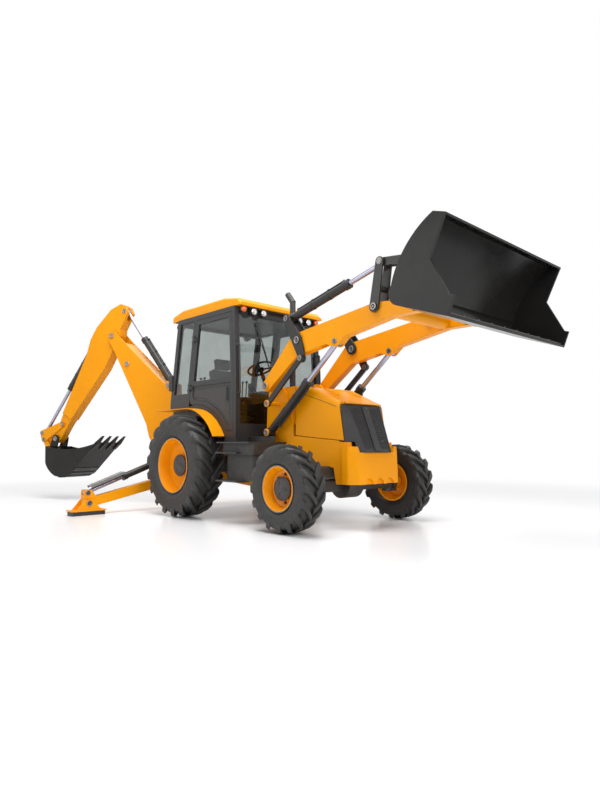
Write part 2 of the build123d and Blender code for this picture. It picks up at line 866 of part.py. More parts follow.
# Cab: a hollow frame of pillars with the floor tub inside the wheels
with BuildPart() as cab_frame:
    with BuildSketch(side(0)):
        with BuildLine():
            Polyline(
                (0, arch_top),
                (cab_rear_low, arch_top),
                (cab_rear_low, cab_rear_waist_z),
                (cab_rear_high, cab_top_z),
                (cab_front_high, cab_top_z),
                (cab_front_low, cab_waist_z),
                (cab_front_low, cab_floor_z),
                (sill_x, cab_floor_z),
            )
            RadiusArc((sill_x, cab_floor_z), (0, arch_top), -fender_radius)
        make_face()
    extrude(amount=cab_half, both=True)
    with BuildSketch(Plane((0, 0, cab_floor_z))):
        with Locations(((cab_front_low + cab_rear_low) / 2, 0)):
            Rectangle(cab_front_low - cab_rear_low, 2 * tub_half)
    extrude(amount=cab_rear_waist_z - cab_floor_z)
    # inside
    with BuildSketch(side(0)):
        Polygon(
            (cab_rear_low + cab_wall, cab_floor_z + cab_wall),
            (cab_rear_low + cab_wall, cab_rear_waist_z),
            (cab_rear_high + cab_wall, cab_top_z - cab_wall),
            (cab_front_high - cab_wall, cab_top_z - cab_wall),
            (cab_front_low - cab_wall, cab_waist_z),
            (cab_front_low - cab_wall, cab_floor_z + cab_wall),
            align=None,
        )
    extrude(amount=tub_half - cab_wall, both=True, mode=Mode.SUBTRACT)
    with BuildSketch(side(0)):
        Polygon(
            (cab_rear_low + cab_wall, cab_rear_waist_z + 20),
            (cab_rear_high + cab_wall, cab_top_z - cab_wall),
            (cab_front_high - cab_wall, cab_top_z - cab_wall),
            (cab_front_low - cab_wall, cab_waist_z),
            (cab_front_low - cab_wall, cab_rear_waist_z + 20),
            align=None,
        )
    extrude(amount=cab_half - cab_wall, both=True, mode=Mode.SUBTRACT)
    # door openings
    with BuildSketch(side(0)):
        add(door_outline(0))
    extrude(amount=cab_half + 1, both=True, mode=Mode.SUBTRACT)
    # quarter windows
    with BuildSketch(side(0)):
        add(quarter_outline())
    extrude(amount=cab_half + 1, both=True, mode=Mode.SUBTRACT)
    # windscreen and rear window
    with BuildSketch(Plane((0, 0, 0), x_dir=(0, 1, 0), z_dir=(1, 0, 0))):
        with Locations((0, (1260 + cab_top_z - 100) / 2)):
            Rectangle(2 * (cab_half - 75), cab_top_z - 100 - 1260)
    extrude(amount=1500, mode=Mode.SUBTRACT)
    with BuildSketch(Plane((0, 0, 0), x_dir=(0, 1, 0), z_dir=(1, 0, 0))):
        with Locations((0, (1700 + cab_top_z - 90) / 2)):
            Rectangle(2 * (cab_half - 75), cab_top_z - 90 - 1700)
    extrude(amount=-1500, mode=Mode.SUBTRACT)
    # door hinge pins on the rear pillars
    for sign in (-1, 1):
        for share in (0.22, 0.78):
            with BuildSketch(door_hinge(sign, share).offset(-45)):
                Circle(hinge_pin_radius)
            extrude(amount=90)
            for low in (-45, 24):
                with BuildSketch(door_hinge(sign, share).offset(low)):
                    Circle(hinge_pin_radius + 5)
                    with Locations((-25, -2 * sign)):
                        Rectangle(50, 24)
                extrude(amount=21)
    # sills down to the side steps
    with BuildSketch(Plane((0, 0, cab_floor_z))):
        with GridLocations(0, 2 * cab_half - 220, 1, 2):
            with Locations(((sill_x + cab_front_low) / 2, 0)):
                Rectangle(cab_front_low - sill_x, 220)
    extrude(amount=step_top + side_gap - cab_floor_z)
    # mounting feet down to the rails
    for x in (-500, 600):
        with BuildSketch(Plane((0, 0, rail_top))):
            with Locations((x, 370), (x, -370)):
                Rectangle(120, 60)
        extrude(amount=cab_floor_z - rail_top)

# Cab glass: windscreen, rear window and quarter panes set in the frame
windscreen_low = 1260.0
rear_glass_low = 1700.0
screen_high = cab_top_z - 100.0
rear_high = cab_top_z - 90.0
glass_inset = 18.0
with BuildPart() as cab_glass:
    with BuildSketch(side(0)):
        Polygon(
            (cab_front_low - glass_inset, windscreen_low),
            (cab_front_low - glass_inset, cab_waist_z),
            (front_x(screen_high) - glass_inset, screen_high),
            (front_x(screen_high) - glass_inset - glass_thickness, screen_high),
            (cab_front_low - glass_inset - glass_thickness, cab_waist_z),
            (cab_front_low - glass_inset - glass_thickness, windscreen_low),
            align=None,
        )
    extrude(amount=cab_half - 75, both=True)
    with BuildSketch(side(0)):
        Polygon(
            (rear_x(rear_glass_low) + glass_inset, rear_glass_low),
            (rear_x(rear_high) + glass_inset, rear_high),
            (rear_x(rear_high) + glass_inset + glass_thickness, rear_high),
            (rear_x(rear_glass_low) + glass_inset + glass_thickness, rear_glass_low),
            align=None,
        )
    extrude(amount=cab_half - 75, both=True)
    for sign in (-1, 1):
        with BuildSketch(side(sign * (cab_half - glass_inset - glass_thickness / 2))):
            add(quarter_outline())
        extrude(amount=glass_thickness / 2, both=True)


# Doors: a frame with two panes, hinged at the rear pillar
def door_frame(sign):
    with BuildPart() as frame:
        with BuildSketch(side(sign * (cab_half - door_thickness / 2))):
            add(door_outline(side_gap))
            add(door_panes(), mode=Mode.SUBTRACT)
        extrude(amount=door_thickness / 2, both=True)
        for share in (0.22, 0.78):
            with BuildSketch(door_hinge(sign, share).offset(-23.7)):
                Circle(12)
                with Locations((25, -8 * sign)):
                    Rectangle(50, 12 + 4)
                Circle(hinge_pin_radius + pin_gap, mode=Mode.SUBTRACT)
            extrude(amount=47.4)
    return frame.part


def door_panes():
    """Upper and lower panes, parted by the waist bar."""
    with BuildSketch() as shape:
        add(door_outline(side_gap + 62))
        with Locations((400, 1850)):
            Rectangle(2000, 70, mode=Mode.SUBTRACT)
    return shape.sketch


with BuildPart() as door_right:
    add(door_frame(-1))

with BuildPart() as door_left:
    add(door_frame(1))

with BuildPart() as door_right_glass:
    with BuildSketch(side(-(cab_half - glass_inset - glass_thickness / 2))):
        add(door_panes())
    extrude(amount=glass_thickness / 2, both=True)

with BuildPart() as door_left_glass:
    with BuildSketch(side(cab_half - glass_inset - glass_thickness / 2)):
        add(door_panes())
    extrude(amount=glass_thickness / 2, both=True)

# Roof: a crowned cap with a front visor
with BuildPart() as cab_roof:
    with BuildSketch(side(0)):
        Polygon(
            (cab_rear_high - 200, cab_top_z),
            (cab_front_high + 110, cab_top_z),
            (cab_front_high + 110, cab_top_z + 40),
            (cab_front_high + 40, cab_top_z + 100),
            (cab_front_high - 260, cab_top_z + roof_height),
            (cab_rear_high + 80, cab_top_z + roof_height),
            (cab_rear_high - 190, cab_top_z + 90),
            align=None,
        )
    extrude(amount=roof_half, both=True)
    fillet(
        edges().filter_by(
            lambda e: e.center().Z > cab_top_z + 30 and abs(abs(e.center().Y) - roof_half) < 1
        ),
        34,
    )

# Lamps under the front and rear edges of the roof, with the side indicators
with BuildPart() as lamps:
    for y in (-511, -341, 341, 511):
        with BuildSketch(Plane((cab_front_high + 25, y, cab_top_z - 58), z_dir=(1, 0, 0))):
            Circle(50)
        extrude(amount=58)
        with BuildSketch(Plane((cab_front_high + 50, y, cab_top_z))):
            Rectangle(36, 40)
        extrude(amount=-30)
    for y in (-675, 675):
        with BuildSketch(Plane((cab_front_high + 20, y, cab_top_z - 44), z_dir=(1, 0, 0))):
            Circle(38)
        extrude(amount=45)
        with BuildSketch(Plane((cab_front_high + 40, y, cab_top_z))):
            Rectangle(30, 34)
        extrude(amount=-25)
    for y in (-640, 640):
        with BuildSketch(Plane((cab_rear_high - 110, y, cab_top_z - 58), z_dir=(-1, 0, 0))):
            Circle(50)
        extrude(amount=58)
        with BuildSketch(Plane((cab_rear_high - 135, y, cab_top_z))):
            Rectangle(36, 40)
        extrude(amount=-30)

# Seat, steering column and console on the cab floor
floor_z = cab_floor_z + cab_wall
with BuildPart() as cab_interior:
    with BuildSketch(Plane((0, 0, floor_z))):
        with Locations((-120, 0)):
            RectangleRounded(420, 440, 40)
    extrude(amount=380)
    with BuildSketch(side(0)):
        Polygon(
            (-380, floor_z + 380),
            (-380, floor_z + 470),
            (-500, floor_z + 1080),
            (-400, floor_z + 1100),
            (-250, floor_z + 500),
            (140, floor_z + 500),
            (140, floor_z + 380),
            align=None,
        )
    extrude(amount=250, both=True)
    with BuildSketch(Plane((0, 0, floor_z))):
        with Locations((740, 0)):
            RectangleRounded(230, 480, 40)
    extrude(amount=520)
    column = Plane((700, 0, floor_z + 500), z_dir=(-230, 0, 470))
    with BuildSketch(column.offset(-20)):
        Circle(45)
    extrude(amount=520)
    with BuildSketch(column.offset(490)):
        Circle(195)
        Circle(168, mode=Mode.SUBTRACT)
        Rectangle(340, 40)
    extrude(amount=26)

# Body panels: rear fenders over the tyres
with BuildPart() as body_panels:
    with BuildSketch(side(-(tub_half + fender_outer) / 2)):
        with BuildLine():
            f0 = (
                fender_radius * math.cos(math.radians(30)),
                rear_tyre_radius + fender_radius * math.sin(math.radians(30)),
            )
            f1 = (0, arch_top)
            f2 = (cab_rear_low - 140, arch_top)
            f3 = (cab_rear_low - 140, arch_top - fender_sheet)
            f4 = (0, arch_top - fender_sheet)
            inner = fender_radius - fender_sheet
            f5 = (
                inner * math.cos(math.radians(30)),
                rear_tyre_radius + inner * math.sin(math.radians(30)),
            )
            RadiusArc(f0, f1, -fender_radius)
            Polyline(f1, f2, f3, f4)
            RadiusArc(f4, f5, inner)
            Line(f5, f0)
        make_face()
    extrude(amount=(fender_outer - tub_half) / 2, both=True)
    mirror(about=Plane.XZ)
    add(cowl.part)


def strip(points, thickness):
    """Closed outline of a bent sheet: the points, and the same line set off to its right."""
    inner = []
    for i, p in enumerate(points):
        a = points[max(i - 1, 0)]
        b = points[min(i + 1, len(points) - 1)]
        d1 = (p[0] - a[0], p[1] - a[1]) if i else (b[0] - p[0], b[1] - p[1])
        d2 = (b[0] - p[0], b[1] - p[1]) if i < len(points) - 1 else d1
        l1 = math.hypot(*d1)
        l2 = math.hypot(*d2)
        n1 = (d1[1] / l1, -d1[0] / l1)
        n2 = (d2[1] / l2, -d2[0] / l2)
        k = thickness / (1 + n1[0] * n2[0] + n1[1] * n2[1])
        inner.append((p[0] + k * (n1[0] + n2[0]), p[1] + k * (n1[1] + n2[1])))
    return list(points) + inner[::-1]


def link_plate(spots):
    """Plate outline drawn tight round discs at its pins."""
    with BuildSketch() as shape:
        with BuildLine():
            for x, z, r in spots:
                CenterArc((x, z), r, 0, 360)
        make_hull()
    return shape.sketch


right = -arm_centre

# Loader arms: two cranked box arms joined by a cross tube
with BuildPart() as loader_arms:
    with BuildSketch(side(right)):
        Polygon(
            plus(lift_pin, (-50, 52)),
            plus(bell_pin, (-116, 68)),
            plus(bell_pin, (39, 101)),
            plus(rocker_pin, (-15, 52)),
            plus(bucket_pin, (0, 68)),
            plus(bucket_pin, (60, 0)),
            plus(bucket_pin, (0, -68)),
            plus(rocker_pin, (238, -133)),
            plus(bell_pin, (130, -165)),
            plus(bell_pin, (-21, -189)),
            plus(lift_pin, (58, -52)),
            align=None,
        )
        with Locations(lift_pin, bucket_pin):
            Circle(72)
    extrude(amount=arm_half_width, both=True)
    with BuildSketch(side(right)):
        Polygon(
            plus(lift_ram_pin, (-190, 0)),
            plus(lift_ram_pin, (-40, -52)),
            plus(lift_ram_pin, (40, -52)),
            plus(lift_ram_pin, (150, 40)),
            align=None,
        )
        with Locations(lift_ram_pin):
            Circle(62)
    extrude(amount=arm_half_width, both=True)
    # forked bracket, open below for the lift rod
    with BuildSketch(side(right)):
        add(link_plate([
            (*plus(lift_ram_pin, (-32, 86)), lift_eye + 8),
            (*plus(lift_ram_pin, (16, 90)), lift_eye + 8),
            (*plus(lift_ram_pin, (2, -12)), lift_eye + 8),
        ]))
        Polygon(
            plus(lift_ram_pin, (-20, 148)),
            plus(lift_ram_pin, (-390, -110)),
            plus(lift_ram_pin, (-260, -470)),
            plus(lift_ram_pin, (52, -48)),
            align=None,
        )
    extrude(amount=lift_rod_radius + 5, both=True, mode=Mode.SUBTRACT)
    for spot, radius in (
        (lift_pin, loader_pin_radius + 6),
        (bell_pin, loader_pin_radius),
        (rocker_pin, loader_pin_radius),
        (bucket_pin, loader_pin_radius),
    ):
        with BuildSketch(side(right)):
            with Locations(spot):
                Circle(radius + pin_gap)
        extrude(amount=arm_half_width + 1, both=True, mode=Mode.SUBTRACT)
    for y in (right - arm_half_width, right + arm_half_width):
        with BuildSketch(side(y)):
            with Locations(lift_ram_pin):
                Circle(34)
        extrude(amount=4, both=True)
    mirror(about=Plane.XZ)
    with BuildSketch(side(0)):
        with Locations(cross_tube):
            Circle(cross_tube_radius)
    extrude(amount=arm_centre - arm_half_width + 2, both=True)

# Bellcranks: a long outer plate and a short inner one on each arm, with their pins
with BuildPart() as bellcranks:
    with BuildSketch(side(right - plate_in - plate_thickness / 2)):
        add(link_plate([(*bell_low_pin, 52), (*bell_pin, 74), (*bell_high_pin, 52)]))
    extrude(amount=plate_thickness / 2, both=True)
    with BuildSketch(side(right + plate_in + plate_thickness / 2)):
        add(link_plate([(*bell_pin, 74), (*bell_high_pin, 52)]))
    extrude(amount=plate_thickness / 2, both=True)
    for spot, radius in ((bell_pin, loader_pin_radius), (bell_high_pin, 28)):
        with BuildSketch(side(right)):
            with Locations(spot):
                Circle(radius)
        extrude(amount=plate_out + 6, both=True)
    with BuildSketch(side(right - plate_in)):
        with Locations(bell_low_pin):
            Circle(28)
    extrude(amount=tie_rod_y + tie_rod_thickness / 2 + 8 - arm_centre - plate_in)
    mirror(about=Plane.XZ)

# Tie rods from the towers to the bellcranks, outside the arms
with BuildPart() as tie_rods:
    with BuildSketch(side(-tie_rod_y)):
        add(link_plate([(*tie_pin, 36), (*bell_low_pin, 36)]))
        with Locations(tie_pin, bell_low_pin):
            Circle(46)
        with Locations(tie_pin):
            Circle(loader_pin_radius - 4 + pin_gap, mode=Mode.SUBTRACT)
        with Locations(bell_low_pin):
            Circle(28 + pin_gap, mode=Mode.SUBTRACT)
    extrude(amount=tie_rod_thickness / 2, both=True)
    mirror(about=Plane.XZ)

# Rockers between the tilt rams and the bucket links
with BuildPart() as rockers:
    for y in (right - plate_in - plate_thickness / 2, right + plate_in + plate_thickness / 2):
        with BuildSketch(side(y)):
            add(link_plate([(*rocker_pin, 62), (*rocker_high, 50)]))
            with Locations(rocker_pin):
                Circle(loader_pin_radius + pin_gap, mode=Mode.SUBTRACT)
            with Locations(rocker_high):
                Circle(28 + pin_gap, mode=Mode.SUBTRACT)
        extrude(amount=plate_thickness / 2, both=True)
    with BuildSketch(side(right)):
        with Locations(toward(rocker_pin, rocker_high, 0.42 * span(rocker_pin, rocker_high))):
            Circle(34)
    extrude(amount=plate_in + 2, both=True)
    mirror(about=Plane.XZ)

with BuildPart() as rocker_pins:
    with BuildSketch(side(right)):
        with Locations(rocker_pin):
            Circle(loader_pin_radius)
    extrude(amount=plate_out + 12, both=True)
    mirror(about=Plane.XZ)

with BuildPart() as bucket_pins:
    with BuildSketch(side(right)):
        with Locations(bucket_pin):
            Circle(loader_pin_radius)
    extrude(amount=plate_out + 12, both=True)
    mirror(about=Plane.XZ)

# Pin stubs at the rocker tops, one on each side of the tilt rod's eye
eye_half = tilt_rod_radius + 2
link_half = eye_half + 4
link_thickness = 18.0
with BuildPart() as link_pins:
    for sign in (-1, 1):
        with BuildSketch(side(right + sign * link_half)):
            with Locations(rocker_high):
                Circle(28)
        extrude(amount=-sign * (plate_out + 10 - link_half))
    mirror(about=Plane.XZ)

# Bucket links from the rockers to the loader bucket
with BuildPart() as bucket_links:
    for sign in (-1, 1):
        with BuildSketch(side(right + sign * (link_half + link_thickness / 2))):
            add(link_plate([(*rocker_high, 44), (*link_pin, 44)]))
            with Locations(rocker_high):
                Circle(28 + pin_gap, mode=Mode.SUBTRACT)
        extrude(amount=link_thickness / 2, both=True)
    with BuildSketch(side(right)):
        with Locations(link_pin):
            Circle(28)
    extrude(amount=link_half + link_thickness + 6, both=True)
    mirror(about=Plane.XZ)


def ram_barrel(plane, start, end, length, radius, eye, eye_half_width, pin_r, rod_r):
    """Barrel with a bored eye at its base and a bore for its rod."""
    with BuildPart() as barrel:
        with BuildSketch(along(plane, start, end).offset(eye - 4)):
            Circle(radius)
        extrude(amount=length - eye + 4)
        with BuildSketch(along(plane, start, end).offset(length - 70)):
            Circle(radius + 8)
        extrude(amount=70)
        with BuildSketch(plane):
            with Locations(start):
                Circle(eye)
        extrude(amount=eye_half_width, both=True)
        with BuildSketch(plane):
            with Locations(start):
                Circle(pin_r + pin_gap)
        extrude(amount=eye_half_width + 1, both=True, mode=Mode.SUBTRACT)
        with BuildSketch(along(plane, start, end).offset(eye + 30)):
            Circle(rod_r + pin_gap)
        extrude(amount=length, mode=Mode.SUBTRACT)
    return barrel.part


def ram_rod(plane, start, end, inside, eye, eye_half_width, rod_r):
    """Rod from inside its barrel to a plain eye at its end."""
    with BuildPart() as rod:
        with BuildSketch(along(plane, start, end).offset(inside)):
            Circle(rod_r)
        extrude(amount=span(start, end) - inside)
        with BuildSketch(plane):
            with Locations(end):
                Circle(eye)
        extrude(amount=eye_half_width, both=True)
    return rod.part


# Lift rams from the towers to the arms, and tilt rams from the bellcranks to the rockers
with BuildPart() as lift_barrels:
    add(
        ram_barrel(
            side(right),
            lift_ram_base,
            lift_ram_pin,
            lift_barrel_length,
            lift_barrel_radius,
            58,
            46,
            loader_pin_radius,
            lift_rod_radius,
        )
    )
    mirror(about=Plane.XZ)

with BuildPart() as lift_rods:
    add(
        ram_rod(
            side(right),
            lift_ram_base,
            lift_ram_pin,
            lift_barrel_length - 290,
            lift_eye,
            lift_rod_radius + 2,
            lift_rod_radius,
        )
    )
    mirror(about=Plane.XZ)

with BuildPart() as tilt_barrels:
    add(
        ram_barrel(
            side(right),
            bell_high_pin,
            rocker_high,
            tilt_barrel_length,
            tilt_barrel_radius,
            50,
            50,
            28,
            tilt_rod_radius,
        )
    )
    mirror(about=Plane.XZ)

with BuildPart() as tilt_rods:
    add(
        ram_rod(
            side(right),
            bell_high_pin,
            rocker_high,
            tilt_barrel_length - 380,
            42,
            eye_half,
            tilt_rod_radius,
        )
    )
    mirror(about=Plane.XZ)

# Loader bucket: a sheet rolled round a curved back, with notched side plates and its lugs
bucket_lip = plus(bucket_pin, (739, -337))
bucket_heel = plus(bucket_pin, (196, -148))
bucket_back_low = plus(bucket_pin, (138, 46))
bucket_back_high = plus(bucket_pin, (605, 619))
bucket_guard = plus(bucket_pin, (735, 574))


def bucket_line():
    """Outer line of the bucket's sheet, from its lip round the heel and back to the spill guard."""
    with BuildLine() as line:
        Line(bucket_lip, bucket_heel)
        ThreePointArc(bucket_heel, plus(bucket_pin, (118, -76)), bucket_back_low)
        ThreePointArc(bucket_back_low, plus(bucket_pin, (302, 370)), bucket_back_high)
        Line(bucket_back_high, bucket_guard)
    return line.line


def bucket_lug(pin, pin_radius, eye, *others):
    """Lug plate from a pin's eye to the bucket's back."""
    with BuildSketch() as shape:
        with Locations(pin):
            Circle(eye)
        Polygon(*others, align=None)
        with Locations(pin):
            Circle(pin_radius + pin_gap, mode=Mode.SUBTRACT)
    return shape.sketch


with BuildPart() as loader_bucket:
    with BuildSketch(side(0)):
        with BuildLine():
            add(bucket_line())
            offset(amount=bucket_sheet, side=Side.RIGHT, kind=Kind.INTERSECTION)
        make_face()
    extrude(amount=bucket_half, both=True)
    for y in (-bucket_half + bucket_sheet / 2, bucket_half - bucket_sheet / 2):
        with BuildSketch(side(y)):
            with BuildLine():
                add(bucket_line())
                Polyline(
                    bucket_guard,
                    plus(bucket_pin, (564, 207)),
                    plus(bucket_pin, (754, -151)),
                    plus(bucket_pin, (802, -165)),
                    bucket_lip,
                )
            make_face()
        extrude(amount=bucket_sheet / 2, both=True)
    for sign in (-1, 1):
        for step in (-plate_in - plate_thickness / 2, plate_in + plate_thickness / 2):
            with BuildSketch(side(sign * arm_centre + step)):
                add(bucket_lug(
                    bucket_pin,
                    loader_pin_radius,
                    72,
                    plus(bucket_pin, (-30, 64)),
                    plus(bucket_pin, (225, 262)),
                    bucket_back_low,
                    plus(bucket_pin, (124, -76)),
                    plus(bucket_pin, (150, -120)),
                    plus(bucket_pin, (0, -70)),
                ))
            extrude(amount=plate_thickness / 2, both=True)
        with BuildSketch(side(sign * arm_centre)):
            add(bucket_lug(
                link_pin,
                28,
                52,
                plus(link_pin, (-10, 52)),
                plus(bucket_pin, (440, 502)),
                plus(bucket_pin, (306, 372)),
                plus(bucket_pin, (236, 272)),
                plus(link_pin, (10, -52)),
            ))
        extrude(amount=eye_half - 2, both=True)

# Slew post between the rear frame's lugs, carrying the boom foot and the boom ram
post_half = boom_half_width - boom_plate - 8
with BuildPart() as slew_post:
    with BuildSketch(Plane((slew_x, 0, slew_low_z - 20))):
        Circle(slew_pin_radius)
    extrude(amount=slew_high_z - slew_low_z + slew_lug + 40)
    with BuildSketch(Plane((slew_x, 0, slew_low_z + slew_lug + side_gap))):
        Circle(110)
    extrude(amount=slew_high_z - slew_low_z - slew_lug - 2 * side_gap)
    with BuildSketch(slewed()):
        Polygon(
            (0, slew_low_z + slew_lug + 40),
            (0, slew_high_z - 40),
            (150, slew_high_z - 20),
            (128, boom_ram_base[1] - 30),
            (boom_ram_base[0] + 40, boom_ram_base[1] - 30),
            (boom_foot[0], boom_foot[1] + 70),
            (boom_foot[0], boom_foot[1] - 70),
            align=None,
        )
        with Locations(boom_foot):
            Circle(72)
        with Locations((0, slew_high_z)):
            Rectangle(
                2 * 116,
                2 * (slew_lug + side_gap),
                align=(Align.CENTER, Align.CENTER),
                mode=Mode.SUBTRACT,
            )
    extrude(amount=post_half, both=True)
    with BuildSketch(slewed()):
        Polygon(
            (118, boom_ram_base[1] - 140),
            (118, boom_ram_base[1] + 10),
            (boom_ram_base[0], boom_ram_base[1] + 66),
            (boom_ram_base[0] + 62, boom_ram_base[1]),
            (boom_ram_base[0] + 62, boom_ram_base[1] - 140),
            align=None,
        )
    extrude(amount=post_half, both=True)
    with BuildSketch(slewed()):
        with Locations(boom_ram_base):
            Circle(84)
        Polygon(
            plus(boom_ram_base, (-20, -80)),
            plus(boom_ram_base, (400, -500)),
            plus(boom_ram_base, (400, 500)),
            plus(boom_ram_base, (0, 200)),
            plus(boom_ram_base, (-200, 200)),
            align=None,
        )
    extrude(amount=post_half - 30, both=True, mode=Mode.SUBTRACT)
    with BuildSketch(slewed()):
        with Locations(boom_ram_base):
            Circle(backhoe_pin_radius)
    extrude(amount=post_half, both=True)
    with BuildSketch(slewed()):
        with Locations(boom_foot):
            Circle(backhoe_pin_radius + 8)
    extrude(amount=boom_half_width + 10, both=True)
    with BuildSketch(Plane((slew_x, 0, slew_high_z - side_gap))):
        Circle(116)
        Circle(slew_pin_radius, mode=Mode.SUBTRACT)
    extrude(amount=slew_lug + 2 * side_gap, mode=Mode.SUBTRACT)
    with BuildSketch(Plane((slew_x, 0, slew_high_z))):
        Circle(slew_pin_radius)
    extrude(amount=slew_lug + 20)

# Boom: two tapered side plates joined by webs, forked at both ends
boom_edge = [
    plus(boom_foot, (-95, -40)),
    plus(boom_foot, (0, -105)),
    plus(boom_foot, (95, -60)),
    (640, 960),
    (735, 1130),
    (795, 1338),
    plus(boom_tip, (-55, -260)),
    plus(boom_tip, (70, -70)),
    plus(boom_tip, (70, 70)),
    plus(boom_tip, (-70, 70)),
    plus(boom_tip, (-223, -77)),
    plus(dipper_ram_base, (90, 30)),
    plus(dipper_ram_base, (30, 78)),
    plus(dipper_ram_base, (-60, 30)),
    plus(dipper_ram_base, (-60, -70)),
    (240, 1500),
]
with BuildPart() as boom:
    for y in (-boom_half_width + boom_plate / 2, boom_half_width - boom_plate / 2):
        with BuildSketch(slewed(y)):
            Polygon(*boom_edge, align=None)
            with Locations(boom_foot):
                Circle(backhoe_pin_radius + 8 + pin_gap, mode=Mode.SUBTRACT)
        extrude(amount=boom_plate / 2, both=True)
    with BuildSketch(slewed()):
        Polygon(*strip([(979, 1662), (795, 1338), (735, 1130), (690, 1045)], 26), align=None)
    extrude(amount=boom_half_width - boom_plate + 1, both=True)
    with BuildSketch(slewed()):
        Polygon(
            *strip([plus(dipper_ram_base, (150, 55)), plus(boom_tip, (-300, -150))], 26),
            align=None,
        )
    extrude(amount=boom_half_width - boom_plate + 1, both=True)
    for spot in (boom_tip, dipper_ram_base):
        with BuildSketch(slewed()):
            with Locations(spot):
                Circle(backhoe_pin_radius)
        extrude(amount=boom_half_width + 10, both=True)
    for y in (-boom_half_width - 5, boom_half_width + 5):
        with BuildSketch(slewed(y)):
            with Locations(boom_ram_pin):
                Circle(46)
        extrude(amount=6, both=True)

with BuildPart() as boom_barrel:
    add(
        ram_barrel(
            slewed(),
            boom_ram_base,
            boom_ram_pin,
            boom_barrel_length,
            boom_barrel_radius,
            66,
            post_half - 36,
            backhoe_pin_radius,
            boom_rod_radius,
        )
    )

with BuildPart() as boom_rod:
    add(
        ram_rod(
            slewed(),
            boom_ram_base,
            boom_ram_pin,
            boom_barrel_length - 825,
            56,
            60,
            boom_rod_radius,
        )
    )

# Dipper: a box arm hung in the boom's fork, with a raised tail
with BuildPart() as dipper:
    with BuildSketch(slewed()):
        Polygon(
            plus(dipper_tail, (-75, -30)),
            plus(dipper_tail, (-20, 80)),
            plus(dipper_tail, (90, 140)),
            plus(dipper_tail, (314, 59)),
            plus(boom_tip, (405, 199)),
            plus(boom_tip, (548, -18)),
            plus(boom_tip, (634, -294)),
            plus(lever_pin, (60, 100)),
            plus(digger_pin, (75, 10)),
            plus(digger_pin, (0, -78)),
            plus(digger_pin, (-75, -10)),
            plus(lever_pin, (-120, -20)),
            plus(boom_tip, (211, -580)),
            plus(boom_tip, (-60, -130)),
            plus(boom_tip, (-130, 0)),
            plus(boom_tip, (-140, 120)),
            align=None,
        )
    extrude(amount=dipper_half_width, both=True)
    # narrow tip between the levers and bucket ears
    for sign in (-1, 1):
        with BuildSketch(slewed(sign * dipper_tip_half)):
            with Locations(digger_pin):
                Circle(480)
        extrude(amount=sign * 100, mode=Mode.SUBTRACT)
    # forked tail for the dipper ram's rod
    with BuildSketch(slewed()):
        add(link_plate([
            (*plus(dipper_tail, (-100, 50)), 62),
            (*plus(dipper_tail, (36, 106)), 62),
            (*plus(dipper_tail, (26, -24)), 62),
        ]))
        Polygon(
            plus(dipper_tail, (-400, -300)),
            plus(dipper_tail, (-300, 300)),
            plus(dipper_tail, (40, 82)),
            plus(dipper_tail, (40, -82)),
            plus(dipper_tail, (-100, -400)),
            align=None,
        )
    extrude(amount=dipper_rod_radius + 6, both=True, mode=Mode.SUBTRACT)
    # slot for the bucket ram's base
    with BuildSketch(slewed()):
        with Locations(bucket_ram_base):
            Circle(82)
        Polygon(
            plus(bucket_ram_base, (-60, -58)),
            plus(bucket_ram_base, (60, -700)),
            plus(bucket_ram_base, (900, -700)),
            plus(bucket_ram_base, (900, 300)),
            plus(bucket_ram_base, (20, 82)),
            align=None,
        )
    extrude(amount=bucket_barrel_radius + 6, both=True, mode=Mode.SUBTRACT)
    for spot, radius in (
        (boom_tip, backhoe_pin_radius),
        (digger_pin, backhoe_pin_radius),
        (lever_pin, backhoe_pin_radius - 5),
    ):
        with BuildSketch(slewed()):
            with Locations(spot):
                Circle(radius + pin_gap)
        extrude(amount=200, both=True, mode=Mode.SUBTRACT)
    with BuildSketch(slewed()):
        with Locations(bucket_ram_base):
            Circle(backhoe_pin_radius - 5)
    extrude(amount=dipper_half_width, both=True)
    for y in (-dipper_half_width - 4, dipper_half_width + 4):
        with BuildSketch(slewed(y)):
            with Locations(dipper_tail):
                Circle(44)
        extrude(amount=5, both=True)

with BuildPart() as dipper_barrel:
    add(
        ram_barrel(
            slewed(),
            dipper_ram_base,
            dipper_tail,
            dipper_barrel_length,
            dipper_barrel_radius,
            62,
            90,
            backhoe_pin_radius,
            dipper_rod_radius,
        )
    )

with BuildPart() as dipper_rod:
    add(
        ram_rod(
            slewed(),
            dipper_ram_base,
            dipper_tail,
            dipper_barrel_length - 440,
            54,
            dipper_rod_radius + 2,
            dipper_rod_radius,
        )
    )

with BuildPart() as bucket_barrel:
    add(
        ram_barrel(
            slewed(),
            bucket_ram_base,
            lever_rod_pin,
            bucket_barrel_length,
            bucket_barrel_radius,
            56,
            bucket_barrel_radius,
            backhoe_pin_radius - 5,
            bucket_rod_radius,
        )
    )

with BuildPart() as bucket_rod:
    add(
        ram_rod(
            slewed(),
            bucket_ram_base,
            lever_rod_pin,
            bucket_barrel_length - 415,
            50,
            bucket_rod_radius + 4,
            bucket_rod_radius,
        )
    )

